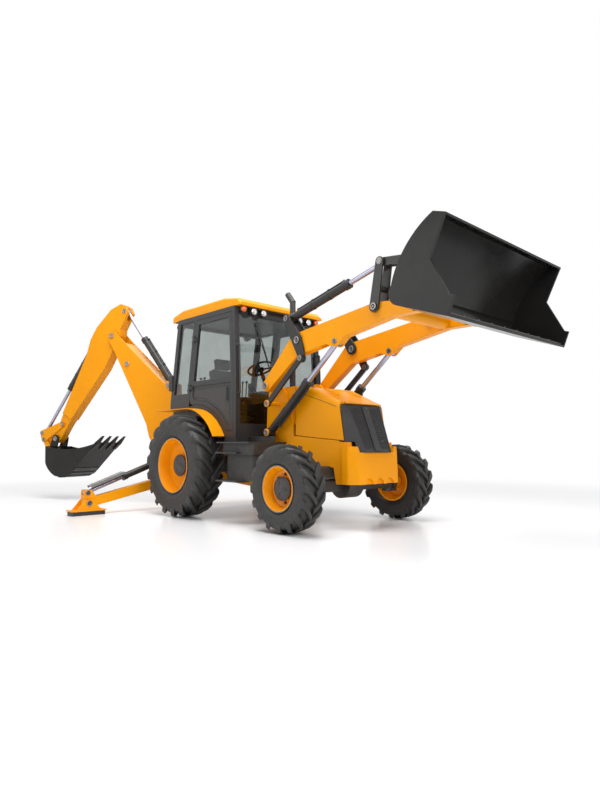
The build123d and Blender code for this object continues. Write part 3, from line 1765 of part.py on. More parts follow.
# Tipping levers, link and digging bucket
lever_in = dipper_tip_half + 4
lever_thickness = 20.0
with BuildPart() as tipping_lever:
    for y in (-lever_in - lever_thickness / 2, lever_in + lever_thickness / 2):
        with BuildSketch(slewed(y)):
            add(link_plate([(*lever_pin, 48), (*lever_rod_pin, 46), (*lever_link_pin, 46)]))
        extrude(amount=lever_thickness / 2, both=True)
    for spot, reach in (
        (lever_pin, lever_in + lever_thickness + 6),
        (lever_link_pin, lever_in + lever_thickness + 6),
    ):
        with BuildSketch(slewed()):
            with Locations(spot):
                Circle(backhoe_pin_radius - 5)
        extrude(amount=reach, both=True)
    for sign in (-1, 1):
        with BuildSketch(slewed(sign * (lever_in + lever_thickness))):
            with Locations(lever_rod_pin):
                Circle(34)
        extrude(amount=sign * 8)

with BuildPart() as digger_link:
    with BuildSketch(slewed()):
        add(link_plate([(*lever_link_pin, 46), (*digger_link_pin, 44)]))
        with Locations(lever_link_pin):
            Circle(backhoe_pin_radius - 5 + pin_gap, mode=Mode.SUBTRACT)
    extrude(amount=dipper_tip_half - 4, both=True)

ear_in = lever_in + lever_thickness + 8
ear_thickness = 25.0
digger_lip = plus(digger_pin, (-1160, -83))
digger_floor = plus(digger_pin, (-640, -570))
digger_heel = plus(digger_pin, (40, -440))
digger_top = plus(digger_pin, (50, -140))


def digger_line():
    """Outer line of the digging bucket's sheet, from its lip round the floor to its top."""
    with BuildLine() as line:
        Line(digger_lip, digger_floor)
        ThreePointArc(digger_floor, plus(digger_pin, (-290, -690)), digger_heel)
        Line(digger_heel, digger_top)
    return line.line


with BuildPart() as digger_bucket:
    with BuildSketch(slewed()):
        with BuildLine():
            add(digger_line())
            offset(amount=digger_sheet, side=Side.LEFT, kind=Kind.INTERSECTION)
        make_face()
    extrude(amount=digger_half, both=True)
    for y in (-digger_half + digger_sheet / 2, digger_half - digger_sheet / 2):
        with BuildSketch(slewed(y)):
            with BuildLine():
                add(digger_line())
                ThreePointArc(digger_top, plus(digger_pin, (-520, -190)), digger_lip)
            make_face()
        extrude(amount=digger_sheet / 2, both=True)
    for y in (-ear_in - ear_thickness / 2, ear_in + ear_thickness / 2):
        with BuildSketch(slewed(y)):
            add(
                link_plate(
                    [(*digger_pin, 70), (*digger_link_pin, 56), (*plus(digger_pin, (20, -330)), 20)]
                )
            )
            with Locations(digger_pin):
                Circle(backhoe_pin_radius, mode=Mode.SUBTRACT)
        extrude(amount=ear_thickness / 2, both=True)
    with BuildSketch(slewed()):
        with Locations(digger_pin):
            Circle(backhoe_pin_radius)
    extrude(amount=ear_in + ear_thickness + 8, both=True)
    for sign in (-1, 1):
        with BuildSketch(slewed(sign * (ear_in + ear_thickness))):
            with Locations(digger_link_pin):
                Circle(34)
        extrude(amount=sign * 8)
    for y in (-270, -90, 90, 270):
        with BuildSketch(slewed(y)):
            Polygon(
                plus(digger_pin, (-1060, -200)),
                plus(digger_pin, (-1030, -160)),
                plus(digger_pin, (-1140, -66)),
                plus(digger_pin, (-1293, 40)),
                plus(digger_pin, (-1190, -96)),
                align=None,
            )
        extrude(amount=32, both=True)

# Stabilisers: a leg, a pad and a ram on each side
def leg_solid():
    with BuildPart() as leg:
        with BuildSketch(rear_view(leg_x)):
            add(link_plate([(*leg_pin, 70), (*leg_foot, 62)]))
            Polygon(
                plus(leg_foot, (-150, 40)),
                plus(leg_rod_pin, (-50, 40)),
                plus(leg_rod_pin, (40, 44)),
                plus(leg_rod_pin, (52, 0)),
                plus(leg_foot, (58, 10)),
                align=None,
            )
        extrude(amount=leg_width / 2, both=True)
        with BuildSketch(rear_view(leg_x)):
            add(link_plate([
                (*plus(leg_rod_pin, (-12, -34)), 52),
                (*plus(leg_rod_pin, (50, 95)), 52),
            ]))
            Polygon(
                plus(leg_rod_pin, (30, -70)),
                plus(leg_rod_pin, (80, 140)),
                plus(leg_rod_pin, (-300, 320)),
                plus(leg_rod_pin, (-300, -10)),
                plus(leg_rod_pin, (-30, -84)),
                align=None,
            )
        extrude(amount=leg_rod_radius + 6, both=True, mode=Mode.SUBTRACT)
        with BuildSketch(rear_view(leg_x)):
            with Locations(leg_pin):
                Circle(leg_pin_radius + pin_gap)
        extrude(amount=leg_width, both=True, mode=Mode.SUBTRACT)
        for x in (leg_x - leg_width / 2 - 3, leg_x + leg_width / 2 + 3):
            with BuildSketch(rear_view(x)):
                with Locations(leg_rod_pin):
                    Circle(30)
            extrude(amount=4, both=True)
        with BuildSketch(rear_view(leg_x)):
            with Locations(leg_foot):
                Circle(leg_pin_radius - 6)
        extrude(amount=leg_width / 2 + 34, both=True)
    return leg.part


def pad_solid():
    with BuildPart() as pad:
        with BuildSketch(Plane((leg_x, -leg_foot[0], 0))):
            RectangleRounded(190, 2 * pad_half, 14)
        extrude(amount=58)
        with BuildSketch(Plane((leg_x, -leg_foot[0], 58))):
            Rectangle(200, 2 * pad_half + 40)
        extrude(amount=16)
        for x in (leg_x - leg_width / 2 - 16, leg_x + leg_width / 2 + 16):
            with BuildSketch(rear_view(x)):
                Polygon(
                    (leg_foot[0] - 180, 70),
                    (leg_foot[0] - 60, leg_foot[1] + 52),
                    (leg_foot[0] + 60, leg_foot[1] + 52),
                    (leg_foot[0] + 180, 70),
                    align=None,
                )
                with Locations(leg_foot):
                    Circle(leg_pin_radius - 6 + pin_gap, mode=Mode.SUBTRACT)
            extrude(amount=10, both=True)
    return pad.part


with BuildPart() as leg_right:
    add(leg_solid())

with BuildPart() as leg_left:
    add(leg_solid().mirror(Plane.XZ))

with BuildPart() as pad_right:
    add(pad_solid())

with BuildPart() as pad_left:
    add(pad_solid().mirror(Plane.XZ))

with BuildPart() as leg_barrel_right:
    add(
        ram_barrel(
            rear_view(leg_x),
            leg_ram_base,
            leg_rod_pin,
            leg_barrel_length,
            leg_barrel_radius,
            50,
            leg_width / 2 - 2,
            leg_pin_radius,
            leg_rod_radius,
        )
    )

with BuildPart() as leg_barrel_left:
    add(leg_barrel_right.part.mirror(Plane.XZ))

with BuildPart() as leg_rod_right:
    add(
        ram_rod(
            rear_view(leg_x),
            leg_ram_base,
            leg_rod_pin,
            leg_barrel_length - 415,
            44,
            leg_rod_radius + 2,
            leg_rod_radius,
        )
    )

with BuildPart() as leg_rod_left:
    add(leg_rod_right.part.mirror(Plane.XZ))

pieces = {
    "tyre_rear_left": tyre_rear_left,
    "tyre_rear_right": tyre_rear_right,
    "tyre_front_left": tyre_front_left,
    "tyre_front_right": tyre_front_right,
    "rim_rear_left": rim_rear_left,
    "rim_rear_right": rim_rear_right,
    "rim_front_left": rim_front_left,
    "rim_front_right": rim_front_right,
    "axles": axles,
    "knuckle_left": knuckle_left,
    "knuckle_right": knuckle_right,
    "main_frame": main_frame,
    "engine": engine,
    "bonnet": bonnet,
    "grille": grille,
    "nose_bumper": nose_bumper,
    "side_tanks": side_tanks,
    "cab_frame": cab_frame,
    "cab_glass": cab_glass,
    "door_right": door_right,
    "door_left": door_left,
    "door_right_glass": door_right_glass,
    "door_left_glass": door_left_glass,
    "cab_roof": cab_roof,
    "lamps": lamps,
    "cab_interior": cab_interior,
    "body_panels": body_panels,
    "loader_arms": loader_arms,
    "bellcranks": bellcranks,
    "tie_rods": tie_rods,
    "rockers": rockers,
    "rocker_pins": rocker_pins,
    "bucket_pins": bucket_pins,
    "link_pins": link_pins,
    "bucket_links": bucket_links,
    "lift_barrels": lift_barrels,
    "lift_rods": lift_rods,
    "tilt_barrels": tilt_barrels,
    "tilt_rods": tilt_rods,
    "loader_bucket": loader_bucket,
    "slew_post": slew_post,
    "boom": boom,
    "boom_barrel": boom_barrel,
    "boom_rod": boom_rod,
    "dipper": dipper,
    "dipper_barrel": dipper_barrel,
    "dipper_rod": dipper_rod,
    "bucket_barrel": bucket_barrel,
    "bucket_rod": bucket_rod,
    "tipping_lever": tipping_lever,
    "digger_link": digger_link,
    "digger_bucket": digger_bucket,
    "leg_right": leg_right,
    "leg_left": leg_left,
    "pad_right": pad_right,
    "pad_left": pad_left,
    "leg_barrel_right": leg_barrel_right,
    "leg_barrel_left": leg_barrel_left,
    "leg_rod_right": leg_rod_right,
    "leg_rod_left": leg_rod_left,
}
for label, piece in pieces.items():
    piece.part.label = label
    export_step(piece.part, f"parts/{label}.step")
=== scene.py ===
import json
import math

import bmesh
import bpy
from mathutils import Matrix, Vector

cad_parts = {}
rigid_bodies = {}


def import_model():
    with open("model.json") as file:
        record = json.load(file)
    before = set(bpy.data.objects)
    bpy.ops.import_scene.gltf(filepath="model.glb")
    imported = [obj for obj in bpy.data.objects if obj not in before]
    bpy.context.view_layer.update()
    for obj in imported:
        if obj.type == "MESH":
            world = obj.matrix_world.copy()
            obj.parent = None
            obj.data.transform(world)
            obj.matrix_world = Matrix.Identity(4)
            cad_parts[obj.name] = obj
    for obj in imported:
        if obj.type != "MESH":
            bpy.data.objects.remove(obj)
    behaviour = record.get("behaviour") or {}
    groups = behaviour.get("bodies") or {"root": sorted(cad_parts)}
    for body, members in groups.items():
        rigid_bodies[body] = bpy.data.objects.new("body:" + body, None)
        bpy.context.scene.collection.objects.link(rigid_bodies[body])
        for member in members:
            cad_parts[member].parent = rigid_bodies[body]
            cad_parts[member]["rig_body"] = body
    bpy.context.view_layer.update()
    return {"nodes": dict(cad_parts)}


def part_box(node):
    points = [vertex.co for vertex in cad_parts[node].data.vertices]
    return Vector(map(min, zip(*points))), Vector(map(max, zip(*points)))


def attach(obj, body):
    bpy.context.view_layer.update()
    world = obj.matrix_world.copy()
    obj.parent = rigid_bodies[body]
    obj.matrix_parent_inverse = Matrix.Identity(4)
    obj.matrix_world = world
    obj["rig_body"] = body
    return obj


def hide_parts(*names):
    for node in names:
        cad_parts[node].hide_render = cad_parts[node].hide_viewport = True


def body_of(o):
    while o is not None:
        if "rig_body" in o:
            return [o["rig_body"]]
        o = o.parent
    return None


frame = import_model()
nodes = frame["nodes"]

# Studio: the machine stands on a polished white sweep under one wide soft panel, with a
# second panel off its right front and weaker ones beside and behind it.
scene = bpy.context.scene
scene.view_settings.view_transform = "Standard"

photo_height = 801
photo_focal = 589.0
sensor = 36.0
eye = Vector((7.084, -5.435, 0.969))
eye_yaw = math.radians(136.656)
eye_pitch = math.radians(4.391)
level = math.cos(eye_pitch)
gaze = Vector((math.cos(eye_yaw) * level, math.sin(eye_yaw) * level, math.sin(eye_pitch)))
camera_data = bpy.data.cameras.new("studio_camera")
camera_data.sensor_width = sensor
camera_data.lens = sensor * photo_focal / photo_height
camera = bpy.data.objects.new("studio_camera", camera_data)
camera.location = eye
camera.rotation_euler = gaze.to_track_quat("-Z", "Y").to_euler()
scene.collection.objects.link(camera)
scene.camera = camera


def soft_panel(name, place, aim, width, height, power):
    """A rectangular soft light at a place, facing a point, that only lights and glints."""
    data = bpy.data.lights.new(name, "AREA")
    data.shape = "RECTANGLE"
    data.size = width
    data.size_y = height
    data.energy = power
    panel = bpy.data.objects.new(name, data)
    panel.location = place
    panel.rotation_euler = (Vector(aim) - Vector(place)).to_track_quat("-Z", "Y").to_euler()
    panel.visible_camera = False
    panel.visible_transmission = False
    scene.collection.objects.link(panel)


soft_panel("panel_above", (1.5, -1.5, 9.0), (0.4, 0.0, 1.0), 7.0, 5.5, 780)
soft_panel("panel_front", (9.0, -2.0, 5.0), (1.5, 0.0, 1.4), 5.0, 4.0, 360)
soft_panel("panel_right", (-1.0, -9.0, 4.5), (0.0, 0.0, 1.2), 6.0, 4.0, 150)
soft_panel("panel_back", (-7.0, 6.0, 6.0), (0.0, 0.0, 1.5), 6.0, 4.0, 180)


def seen_directly(tree):
    """1 for a ray from the eye, from a mirror surface or through glass, otherwise 0."""
    path = tree.nodes.new("ShaderNodeLightPath")
    glossy = tree.nodes.new("ShaderNodeMath")
    glossy.operation = "MAXIMUM"
    tree.links.new(path.outputs["Is Camera Ray"], glossy.inputs[0])
    tree.links.new(path.outputs["Is Glossy Ray"], glossy.inputs[1])
    through = tree.nodes.new("ShaderNodeMath")
    through.operation = "MAXIMUM"
    tree.links.new(glossy.outputs[0], through.inputs[0])
    tree.links.new(path.outputs["Is Transmission Ray"], through.inputs[1])
    return through.outputs[0]


world = bpy.data.worlds.new("white_studio")
scene.world = world
world.use_nodes = True
sky = world.node_tree
sky.nodes.clear()
sky_out = sky.nodes.new("ShaderNodeOutputWorld")
sky_mix = sky.nodes.new("ShaderNodeMixShader")
sky_light = sky.nodes.new("ShaderNodeBackground")
sky_light.inputs["Color"].default_value = (0.95, 0.97, 1.0, 1.0)
sky_light.inputs["Strength"].default_value = 0.30
sky_white = sky.nodes.new("ShaderNodeBackground")
sky_white.inputs["Color"].default_value = (1.0, 1.0, 1.0, 1.0)
sky_white.inputs["Strength"].default_value = 1.0
sky.links.new(seen_directly(sky), sky_mix.inputs[0])
sky.links.new(sky_light.outputs[0], sky_mix.inputs[1])
sky.links.new(sky_white.outputs[0], sky_mix.inputs[2])
sky.links.new(sky_mix.outputs[0], sky_out.inputs[0])

floor_reach = 60.0
floor_clear = (4.5, 11.0)
floor_mesh = bmesh.new()
bmesh.ops.create_grid(floor_mesh, x_segments=4, y_segments=4, size=floor_reach)
floor_data = bpy.data.meshes.new("studio_floor")
floor_mesh.to_mesh(floor_data)
floor_mesh.free()
floor = bpy.data.objects.new("studio_floor", floor_data)
scene.collection.objects.link(floor)
floor_white = bpy.data.materials.new("polished_white_floor")
floor_white.use_nodes = True
tree = floor_white.node_tree
tree.nodes.clear()
floor_out = tree.nodes.new("ShaderNodeOutputMaterial")
floor_skin = tree.nodes.new("ShaderNodeBsdfPrincipled")
floor_skin.inputs["Base Color"].default_value = (0.95, 0.95, 0.96, 1.0)
floor_skin.inputs["Roughness"].default_value = 0.24
floor_skin.inputs["Specular IOR Level"].default_value = 0.30
floor_glow = tree.nodes.new("ShaderNodeEmission")
floor_glow.inputs["Strength"].default_value = 1.0
floor_mix = tree.nodes.new("ShaderNodeMixShader")
place = tree.nodes.new("ShaderNodeTexCoord")
reach = tree.nodes.new("ShaderNodeVectorMath")
reach.operation = "LENGTH"
fade = tree.nodes.new("ShaderNodeMapRange")
fade.interpolation_type = "SMOOTHSTEP"
fade.inputs["From Min"].default_value = floor_clear[0]
fade.inputs["From Max"].default_value = floor_clear[1]
shown = tree.nodes.new("ShaderNodeMath")
shown.operation = "MULTIPLY"
tree.links.new(place.outputs["Object"], reach.inputs[0])
tree.links.new(reach.outputs["Value"], fade.inputs["Value"])
tree.links.new(fade.outputs[0], shown.inputs[0])
tree.links.new(seen_directly(tree), shown.inputs[1])
tree.links.new(shown.outputs[0], floor_mix.inputs[0])
tree.links.new(floor_skin.outputs[0], floor_mix.inputs[1])
tree.links.new(floor_glow.outputs[0], floor_mix.inputs[2])
tree.links.new(floor_mix.outputs[0], floor_out.inputs[0])
floor_data.materials.append(floor_white)


# Painted steel weldments: frame, towers, arms, boom and panels are welded plate with a
# thick gloss coat, slightly orange-peeled, a little dusty near the ground.
def noise_node(tree, coords, scale, detail):
    """Noise over the piece, with features about 1 / scale metres across."""
    node = tree.nodes.new("ShaderNodeTexNoise")
    node.inputs["Scale"].default_value = scale
    node.inputs["Detail"].default_value = detail
    tree.links.new(coords, node.inputs["Vector"])
    return node.outputs["Fac"]


def ranged(tree, value, low, high, new_low, new_high):
    """A value stretched from one range to another and held at its ends."""
    node = tree.nodes.new("ShaderNodeMapRange")
    node.inputs["From Min"].default_value = low
    node.inputs["From Max"].default_value = high
    node.inputs["To Min"].default_value = new_low
    node.inputs["To Max"].default_value = new_high
    tree.links.new(value, node.inputs["Value"])
    return node.outputs[0]


def combined(tree, operation, first, second):
    """Two values, the second a socket or a number, through one math step."""
    node = tree.nodes.new("ShaderNodeMath")
    node.operation = operation
    tree.links.new(first, node.inputs[0])
    if isinstance(second, (int, float)):
        node.inputs[1].default_value = second
    else:
        tree.links.new(second, node.inputs[1])
    return node.outputs[0]


def mixed(tree, share, first, second):
    """Two colours, sockets or values, mixed by a share."""
    node = tree.nodes.new("ShaderNodeMix")
    node.data_type = "RGBA"
    for socket, value in zip(
        (node.inputs["Factor"], node.inputs[6], node.inputs[7]), (share, first, second)
    ):
        if isinstance(value, bpy.types.NodeSocket):
            tree.links.new(value, socket)
        else:
            socket.default_value = value
    return node.outputs[2]


def effect_group(name, inputs, outputs):
    """An empty shader group with named sockets, and its two end nodes."""
    group = bpy.data.node_groups.new(name, "ShaderNodeTree")
    for label, kind, value in inputs:
        socket = group.interface.new_socket(name=label, in_out="INPUT", socket_type=kind)
        socket.default_value = value
    for label, kind in outputs:
        group.interface.new_socket(name=label, in_out="OUTPUT", socket_type=kind)
    return group, group.nodes.new("NodeGroupInput"), group.nodes.new("NodeGroupOutput")


skin_outputs = [
    ("Color", "NodeSocketColor"),
    ("Roughness", "NodeSocketFloat"),
    ("Height", "NodeSocketFloat"),
]
dust_colour = (0.30, 0.22, 0.13, 1.0)
coat_effect, coat_in, coat_out = effect_group(
    "paint_coat",
    [
        ("Paint", "NodeSocketColor", (0.8, 0.4, 0.0, 1.0)),
        ("Shade", "NodeSocketColor", (0.7, 0.3, 0.0, 1.0)),
        ("Gloss", "NodeSocketFloat", 0.3),
        ("Dust", "NodeSocketFloat", 0.1),
    ],
    skin_outputs,
)
coat_place = coat_effect.nodes.new("ShaderNodeTexCoord").outputs["Object"]
coat_drift = ranged(coat_effect, noise_node(coat_effect, coat_place, 1.3, 3.0), 0.35, 0.7, 0.0, 1.0)
coat_toned = mixed(coat_effect, coat_drift, coat_in.outputs["Paint"], coat_in.outputs["Shade"])
coat_split = coat_effect.nodes.new("ShaderNodeSeparateXYZ")
coat_effect.links.new(coat_place, coat_split.inputs[0])
coat_low = ranged(coat_effect, coat_split.outputs["Z"], 0.1, 1.3, 1.0, 0.05)
coat_blown = ranged(coat_effect, noise_node(coat_effect, coat_place, 4.0, 2.0), 0.40, 0.85, 0.0, 1.0)
coat_film = combined(coat_effect, "MULTIPLY", coat_low, coat_blown)
coat_dust = combined(coat_effect, "MULTIPLY", coat_film, coat_in.outputs["Dust"])
coat_effect.links.new(mixed(coat_effect, coat_dust, coat_toned, dust_colour), coat_out.inputs["Color"])
coat_smear = ranged(coat_effect, noise_node(coat_effect, coat_place, 14.0, 5.0), 0.3, 0.7, -0.04, 0.05)
coat_sheen = combined(coat_effect, "ADD", coat_smear, coat_in.outputs["Gloss"])
coat_rough = combined(coat_effect, "ADD", coat_sheen, combined(coat_effect, "MULTIPLY", coat_dust, 0.5))
coat_effect.links.new(coat_rough, coat_out.inputs["Roughness"])
coat_effect.links.new(noise_node(coat_effect, coat_place, 150.0, 2.0), coat_out.inputs["Height"])


def skinned(name, effect, settings, bump_strength, bump_depth, edge=0.0):
    """A material whose colour, roughness and relief come from an effect group."""
    material = bpy.data.materials.new(name)
    material.use_nodes = True
    tree = material.node_tree
    shader = tree.nodes["Principled BSDF"]
    skin = tree.nodes.new("ShaderNodeGroup")
    skin.node_tree = effect
    for label, value in settings.items():
        skin.inputs[label].default_value = value
    bump = tree.nodes.new("ShaderNodeBump")
    bump.inputs["Strength"].default_value = bump_strength
    bump.inputs["Distance"].default_value = bump_depth
    if edge:
        eased = tree.nodes.new("ShaderNodeBevel")
        eased.samples = 6
        eased.inputs["Radius"].default_value = edge
        tree.links.new(eased.outputs[0], bump.inputs["Normal"])
    tree.links.new(skin.outputs["Height"], bump.inputs["Height"])
    tree.links.new(skin.outputs["Color"], shader.inputs["Base Color"])
    tree.links.new(skin.outputs["Roughness"], shader.inputs["Roughness"])
    tree.links.new(bump.outputs[0], shader.inputs["Normal"])
    return material, shader


def painted_finish(name, paint, shade, gloss, clear_coat, dust, edge, peel=0.02, glint=0.5):
    """Coated steel: the coat effect under a clear layer, with its edges eased."""
    settings = {"Paint": (*paint, 1.0), "Shade": (*shade, 1.0), "Gloss": gloss, "Dust": dust}
    material, shader = skinned(name, coat_effect, settings, peel, 0.004, edge)
    shader.inputs["Coat Weight"].default_value = clear_coat
    shader.inputs["Coat Roughness"].default_value = 0.08
    shader.inputs["Specular IOR Level"].default_value = glint
    return material


def finish_node(material, *names):
    """Gives CAD pieces their material."""
    for name in names:
        data = nodes[name].data
        data.materials.clear()
        data.materials.append(material)


machine_yellow = (0.93, 0.355, 0.001)
machine_shade = (0.90, 0.325, 0.001)
yellow_paint = painted_finish(
    "machine_yellow", machine_yellow, machine_shade, 0.34, 0.06, 0.10, 0.006, 0.02, 0.16
)
finish_node(yellow_paint, "main_frame", "nose_bumper", "bonnet", "body_panels", "cab_roof", "loader_arms")
finish_node(yellow_paint, "slew_post", "boom", "dipper", "leg_right", "leg_left", "digger_link")
finish_node(yellow_paint, "tipping_lever", "pad_right", "pad_left")

# Black running gear: axles, tanks, linkage plates and ram barrels carry a satin black coat,
# the buckets a thicker charcoal one, and the cab's steel frame a grey-black powder coat.
linkage_black = (0.018, 0.0175, 0.017)
linkage_shade = (0.024, 0.023, 0.022)
black_paint = painted_finish(
    "linkage_black", linkage_black, linkage_shade, 0.36, 0.1, 0.10, 0.005, 0.02, 0.35
)
finish_node(
    black_paint, "bellcranks", "tie_rods", "rockers", "bucket_links", "lift_barrels", "tilt_barrels"
)
finish_node(black_paint, "boom_barrel", "dipper_barrel", "bucket_barrel")
finish_node(black_paint, "leg_barrel_right", "leg_barrel_left")
chassis_black = (0.020, 0.020, 0.020)
chassis_shade = (0.028, 0.027, 0.026)
satin_black = painted_finish("chassis_black", chassis_black, chassis_shade, 0.48, 0.0, 0.35, 0.006, 0.08)
finish_node(satin_black, "axles", "knuckle_left", "knuckle_right", "side_tanks", "engine", "lamps")
bucket_coat = (0.0135, 0.0125, 0.0120)
bucket_shade = (0.019, 0.018, 0.017)
bucket_black = painted_finish(
    "bucket_charcoal", bucket_coat, bucket_shade, 0.22, 0.02, 0.06, 0.005, 0.005, 0.18
)
finish_node(bucket_black, "loader_bucket", "digger_bucket")
cab_coat = (0.030, 0.030, 0.031)
cab_shade = (0.037, 0.037, 0.037)
cab_grey = painted_finish("cab_charcoal", cab_coat, cab_shade, 0.40, 0.05, 0.08, 0.006, 0.02, 0.35)
finish_node(cab_grey, "cab_frame", "door_right", "door_left")
rim_coat = (0.93, 0.34, 0.001)
rim_shade = (0.88, 0.31, 0.001)
rim_paint = painted_finish("rim_yellow", rim_coat, rim_shade, 0.34, 0.06, 0.10, 0.004, 0.02, 0.2)
finish_node(rim_paint, "rim_rear_left", "rim_rear_right", "rim_front_left", "rim_front_right")

# Tyres: cross-ply earthmover tyres, a smooth casing with two rows of slanted rubber lugs
# moulded on, each row set half a pitch from the other, and a bead ring over the rim.
grain_effect, grain_in, grain_out = effect_group(
    "fine_grain",
    [
        ("Base", "NodeSocketColor", (0.1, 0.1, 0.1, 1.0)),
        ("Bloom", "NodeSocketColor", (0.2, 0.2, 0.2, 1.0)),
        ("Roughness", "NodeSocketFloat", 0.5),
        ("Spread", "NodeSocketFloat", 0.1),
        ("Grain", "NodeSocketFloat", 200.0),
    ],
    skin_outputs,
)
grain_place = grain_effect.nodes.new("ShaderNodeTexCoord").outputs["Object"]
grain_patch = ranged(grain_effect, noise_node(grain_effect, grain_place, 6.0, 6.0), 0.35, 0.75, 0.0, 1.0)
grain_tone = mixed(grain_effect, grain_patch, grain_in.outputs["Base"], grain_in.outputs["Bloom"])
grain_effect.links.new(grain_tone, grain_out.inputs["Color"])
grain_wave = ranged(grain_effect, noise_node(grain_effect, grain_place, 28.0, 4.0), 0.3, 0.7, -1.0, 1.0)
grain_rough = combined(grain_effect, "MULTIPLY", grain_wave, grain_in.outputs["Spread"])
grain_sum = combined(grain_effect, "ADD", grain_rough, grain_in.outputs["Roughness"])
grain_effect.links.new(grain_sum, grain_out.inputs["Roughness"])
grain_fine = grain_effect.nodes.new("ShaderNodeTexNoise")
grain_fine.inputs["Detail"].default_value = 3.0
grain_effect.links.new(grain_place, grain_fine.inputs["Vector"])
grain_effect.links.new(grain_in.outputs["Grain"], grain_fine.inputs["Scale"])
grain_effect.links.new(grain_fine.outputs["Fac"], grain_out.inputs["Height"])


def grained(name, base, bloom, rough, spread, grain, strength=0.1, metal=0.0, coat=0.0, edge=0.0):
    """An uncoated surface: rubber, bare metal, plastic or vinyl."""
    settings = {
        "Base": (*base, 1.0),
        "Bloom": (*bloom, 1.0),
        "Roughness": rough,
        "Spread": spread,
        "Grain": grain,
    }
    material, shader = skinned(name, grain_effect, settings, strength, 0.002, edge)
    shader.inputs["Metallic"].default_value = metal
    shader.inputs["Coat Weight"].default_value = coat
    return material


def settled(bm, name, material, body, stands_for=()):
    """Makes a finished piece of a mesh, riding on a body, and hides the CAD pieces it stands for."""
    data = bpy.data.meshes.new(name)
    bm.to_mesh(data)
    bm.free()
    data.materials.append(material)
    piece = bpy.data.objects.new(name, data)
    scene.collection.objects.link(piece)
    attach(piece, body)
    if stands_for:
        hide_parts(*stands_for)
    return piece


def rounded_by_angle(bm, limit=35.0):
    """Smooth shading, with edges sharper than the limit kept crisp."""
    for face in bm.faces:
        face.smooth = True
    for edge in bm.edges:
        if len(edge.link_faces) == 2 and edge.calc_face_angle() > math.radians(limit):
            edge.smooth = False


def turned(bm, section, centre, axis, steps):
    """Spins a chain of points, given as places in space, all the way round an axis."""
    chain = [bm.verts.new(point) for point in section]
    edges = [bm.edges.new(pair) for pair in zip(chain, chain[1:])]
    full = 2 * math.pi
    bmesh.ops.spin(
        bm, geom=chain + edges, cent=centre, axis=axis, dvec=(0, 0, 0),
        angle=full, steps=steps, use_merge=True,
    )
    bmesh.ops.remove_doubles(bm, verts=bm.verts[:], dist=1e-5)
    bmesh.ops.recalc_face_normals(bm, faces=bm.faces[:])


rubber_base = (0.0150, 0.0142, 0.0135)
rubber_bloom = (0.024, 0.0225, 0.021)
rubber = grained("tyre_rubber", rubber_base, rubber_bloom, 0.52, 0.10, 220.0, 0.25)

# each station along a lug: share of the tread's half width, share of its sweep round the tyre,
# depth of its foot below the casing and of its crown below the tip
lug_stations = (
    (-0.06, 0.00, 0.006, 0.000),
    (0.20, 0.24, 0.006, 0.000),
    (0.46, 0.48, 0.010, 0.002),
    (0.68, 0.66, 0.020, 0.006),
    (0.84, 0.79, 0.040, 0.013),
    (0.94, 0.88, 0.065, 0.028),
    (0.985, 0.94, 0.085, 0.060),
)


def lug_row(bm, hand, centre, half, tip, casing, count, thick, sweep, start):
    """One row of lugs on one half of the tread: a block bent along the tread, spun round."""
    row = bmesh.new()
    bmesh.ops.create_cube(row, size=1.0)
    lengthways = [e for e in row.edges if abs(e.verts[0].co.x - e.verts[1].co.x) > 0.5]
    bmesh.ops.subdivide_edges(row, edges=lengthways, cuts=len(lug_stations) - 2, use_grid_fill=True)
    last = len(lug_stations) - 1
    for v in row.verts:
        station = round((v.co.x + 0.5) * last)
        axial, swept, foot, crown = lug_stations[station]
        up = v.co.z > 0
        radius = tip - crown if up else casing - foot
        breadth = thick * (0.80 + 0.40 * station / last) * (0.84 if up else 1.12)
        turn = start - swept * sweep / tip + v.co.y * breadth / radius
        v.co = centre + Vector((radius * math.sin(turn), hand * axial * half, radius * math.cos(turn)))
    bmesh.ops.recalc_face_normals(row, faces=row.faces[:])
    crests = [e for e in row.edges if e.calc_face_angle() > math.radians(40)]
    bmesh.ops.bevel(
        row, geom=crests, offset=0.006, segments=2, profile=0.5,
        affect="EDGES", material=-1, clamp_overlap=True,
    )
    for v in row.verts:
        spoke = Vector((v.co.x - centre.x, 0, v.co.z - centre.z))
        v.co -= spoke.normalized() * max(0.0, spoke.length - tip)
    lug = row.verts[:] + row.edges[:] + row.faces[:]
    turn = 2 * math.pi * (count - 1) / count
    bmesh.ops.spin(
        row, geom=lug, cent=centre, axis=(0, 1, 0), dvec=(0, 0, 0),
        angle=turn, steps=count - 1, use_duplicate=True,
    )
    row_data = bpy.data.meshes.new("lug_row")
    row.to_mesh(row_data)
    row.free()
    bm.from_mesh(row_data)
    bpy.data.meshes.remove(row_data)


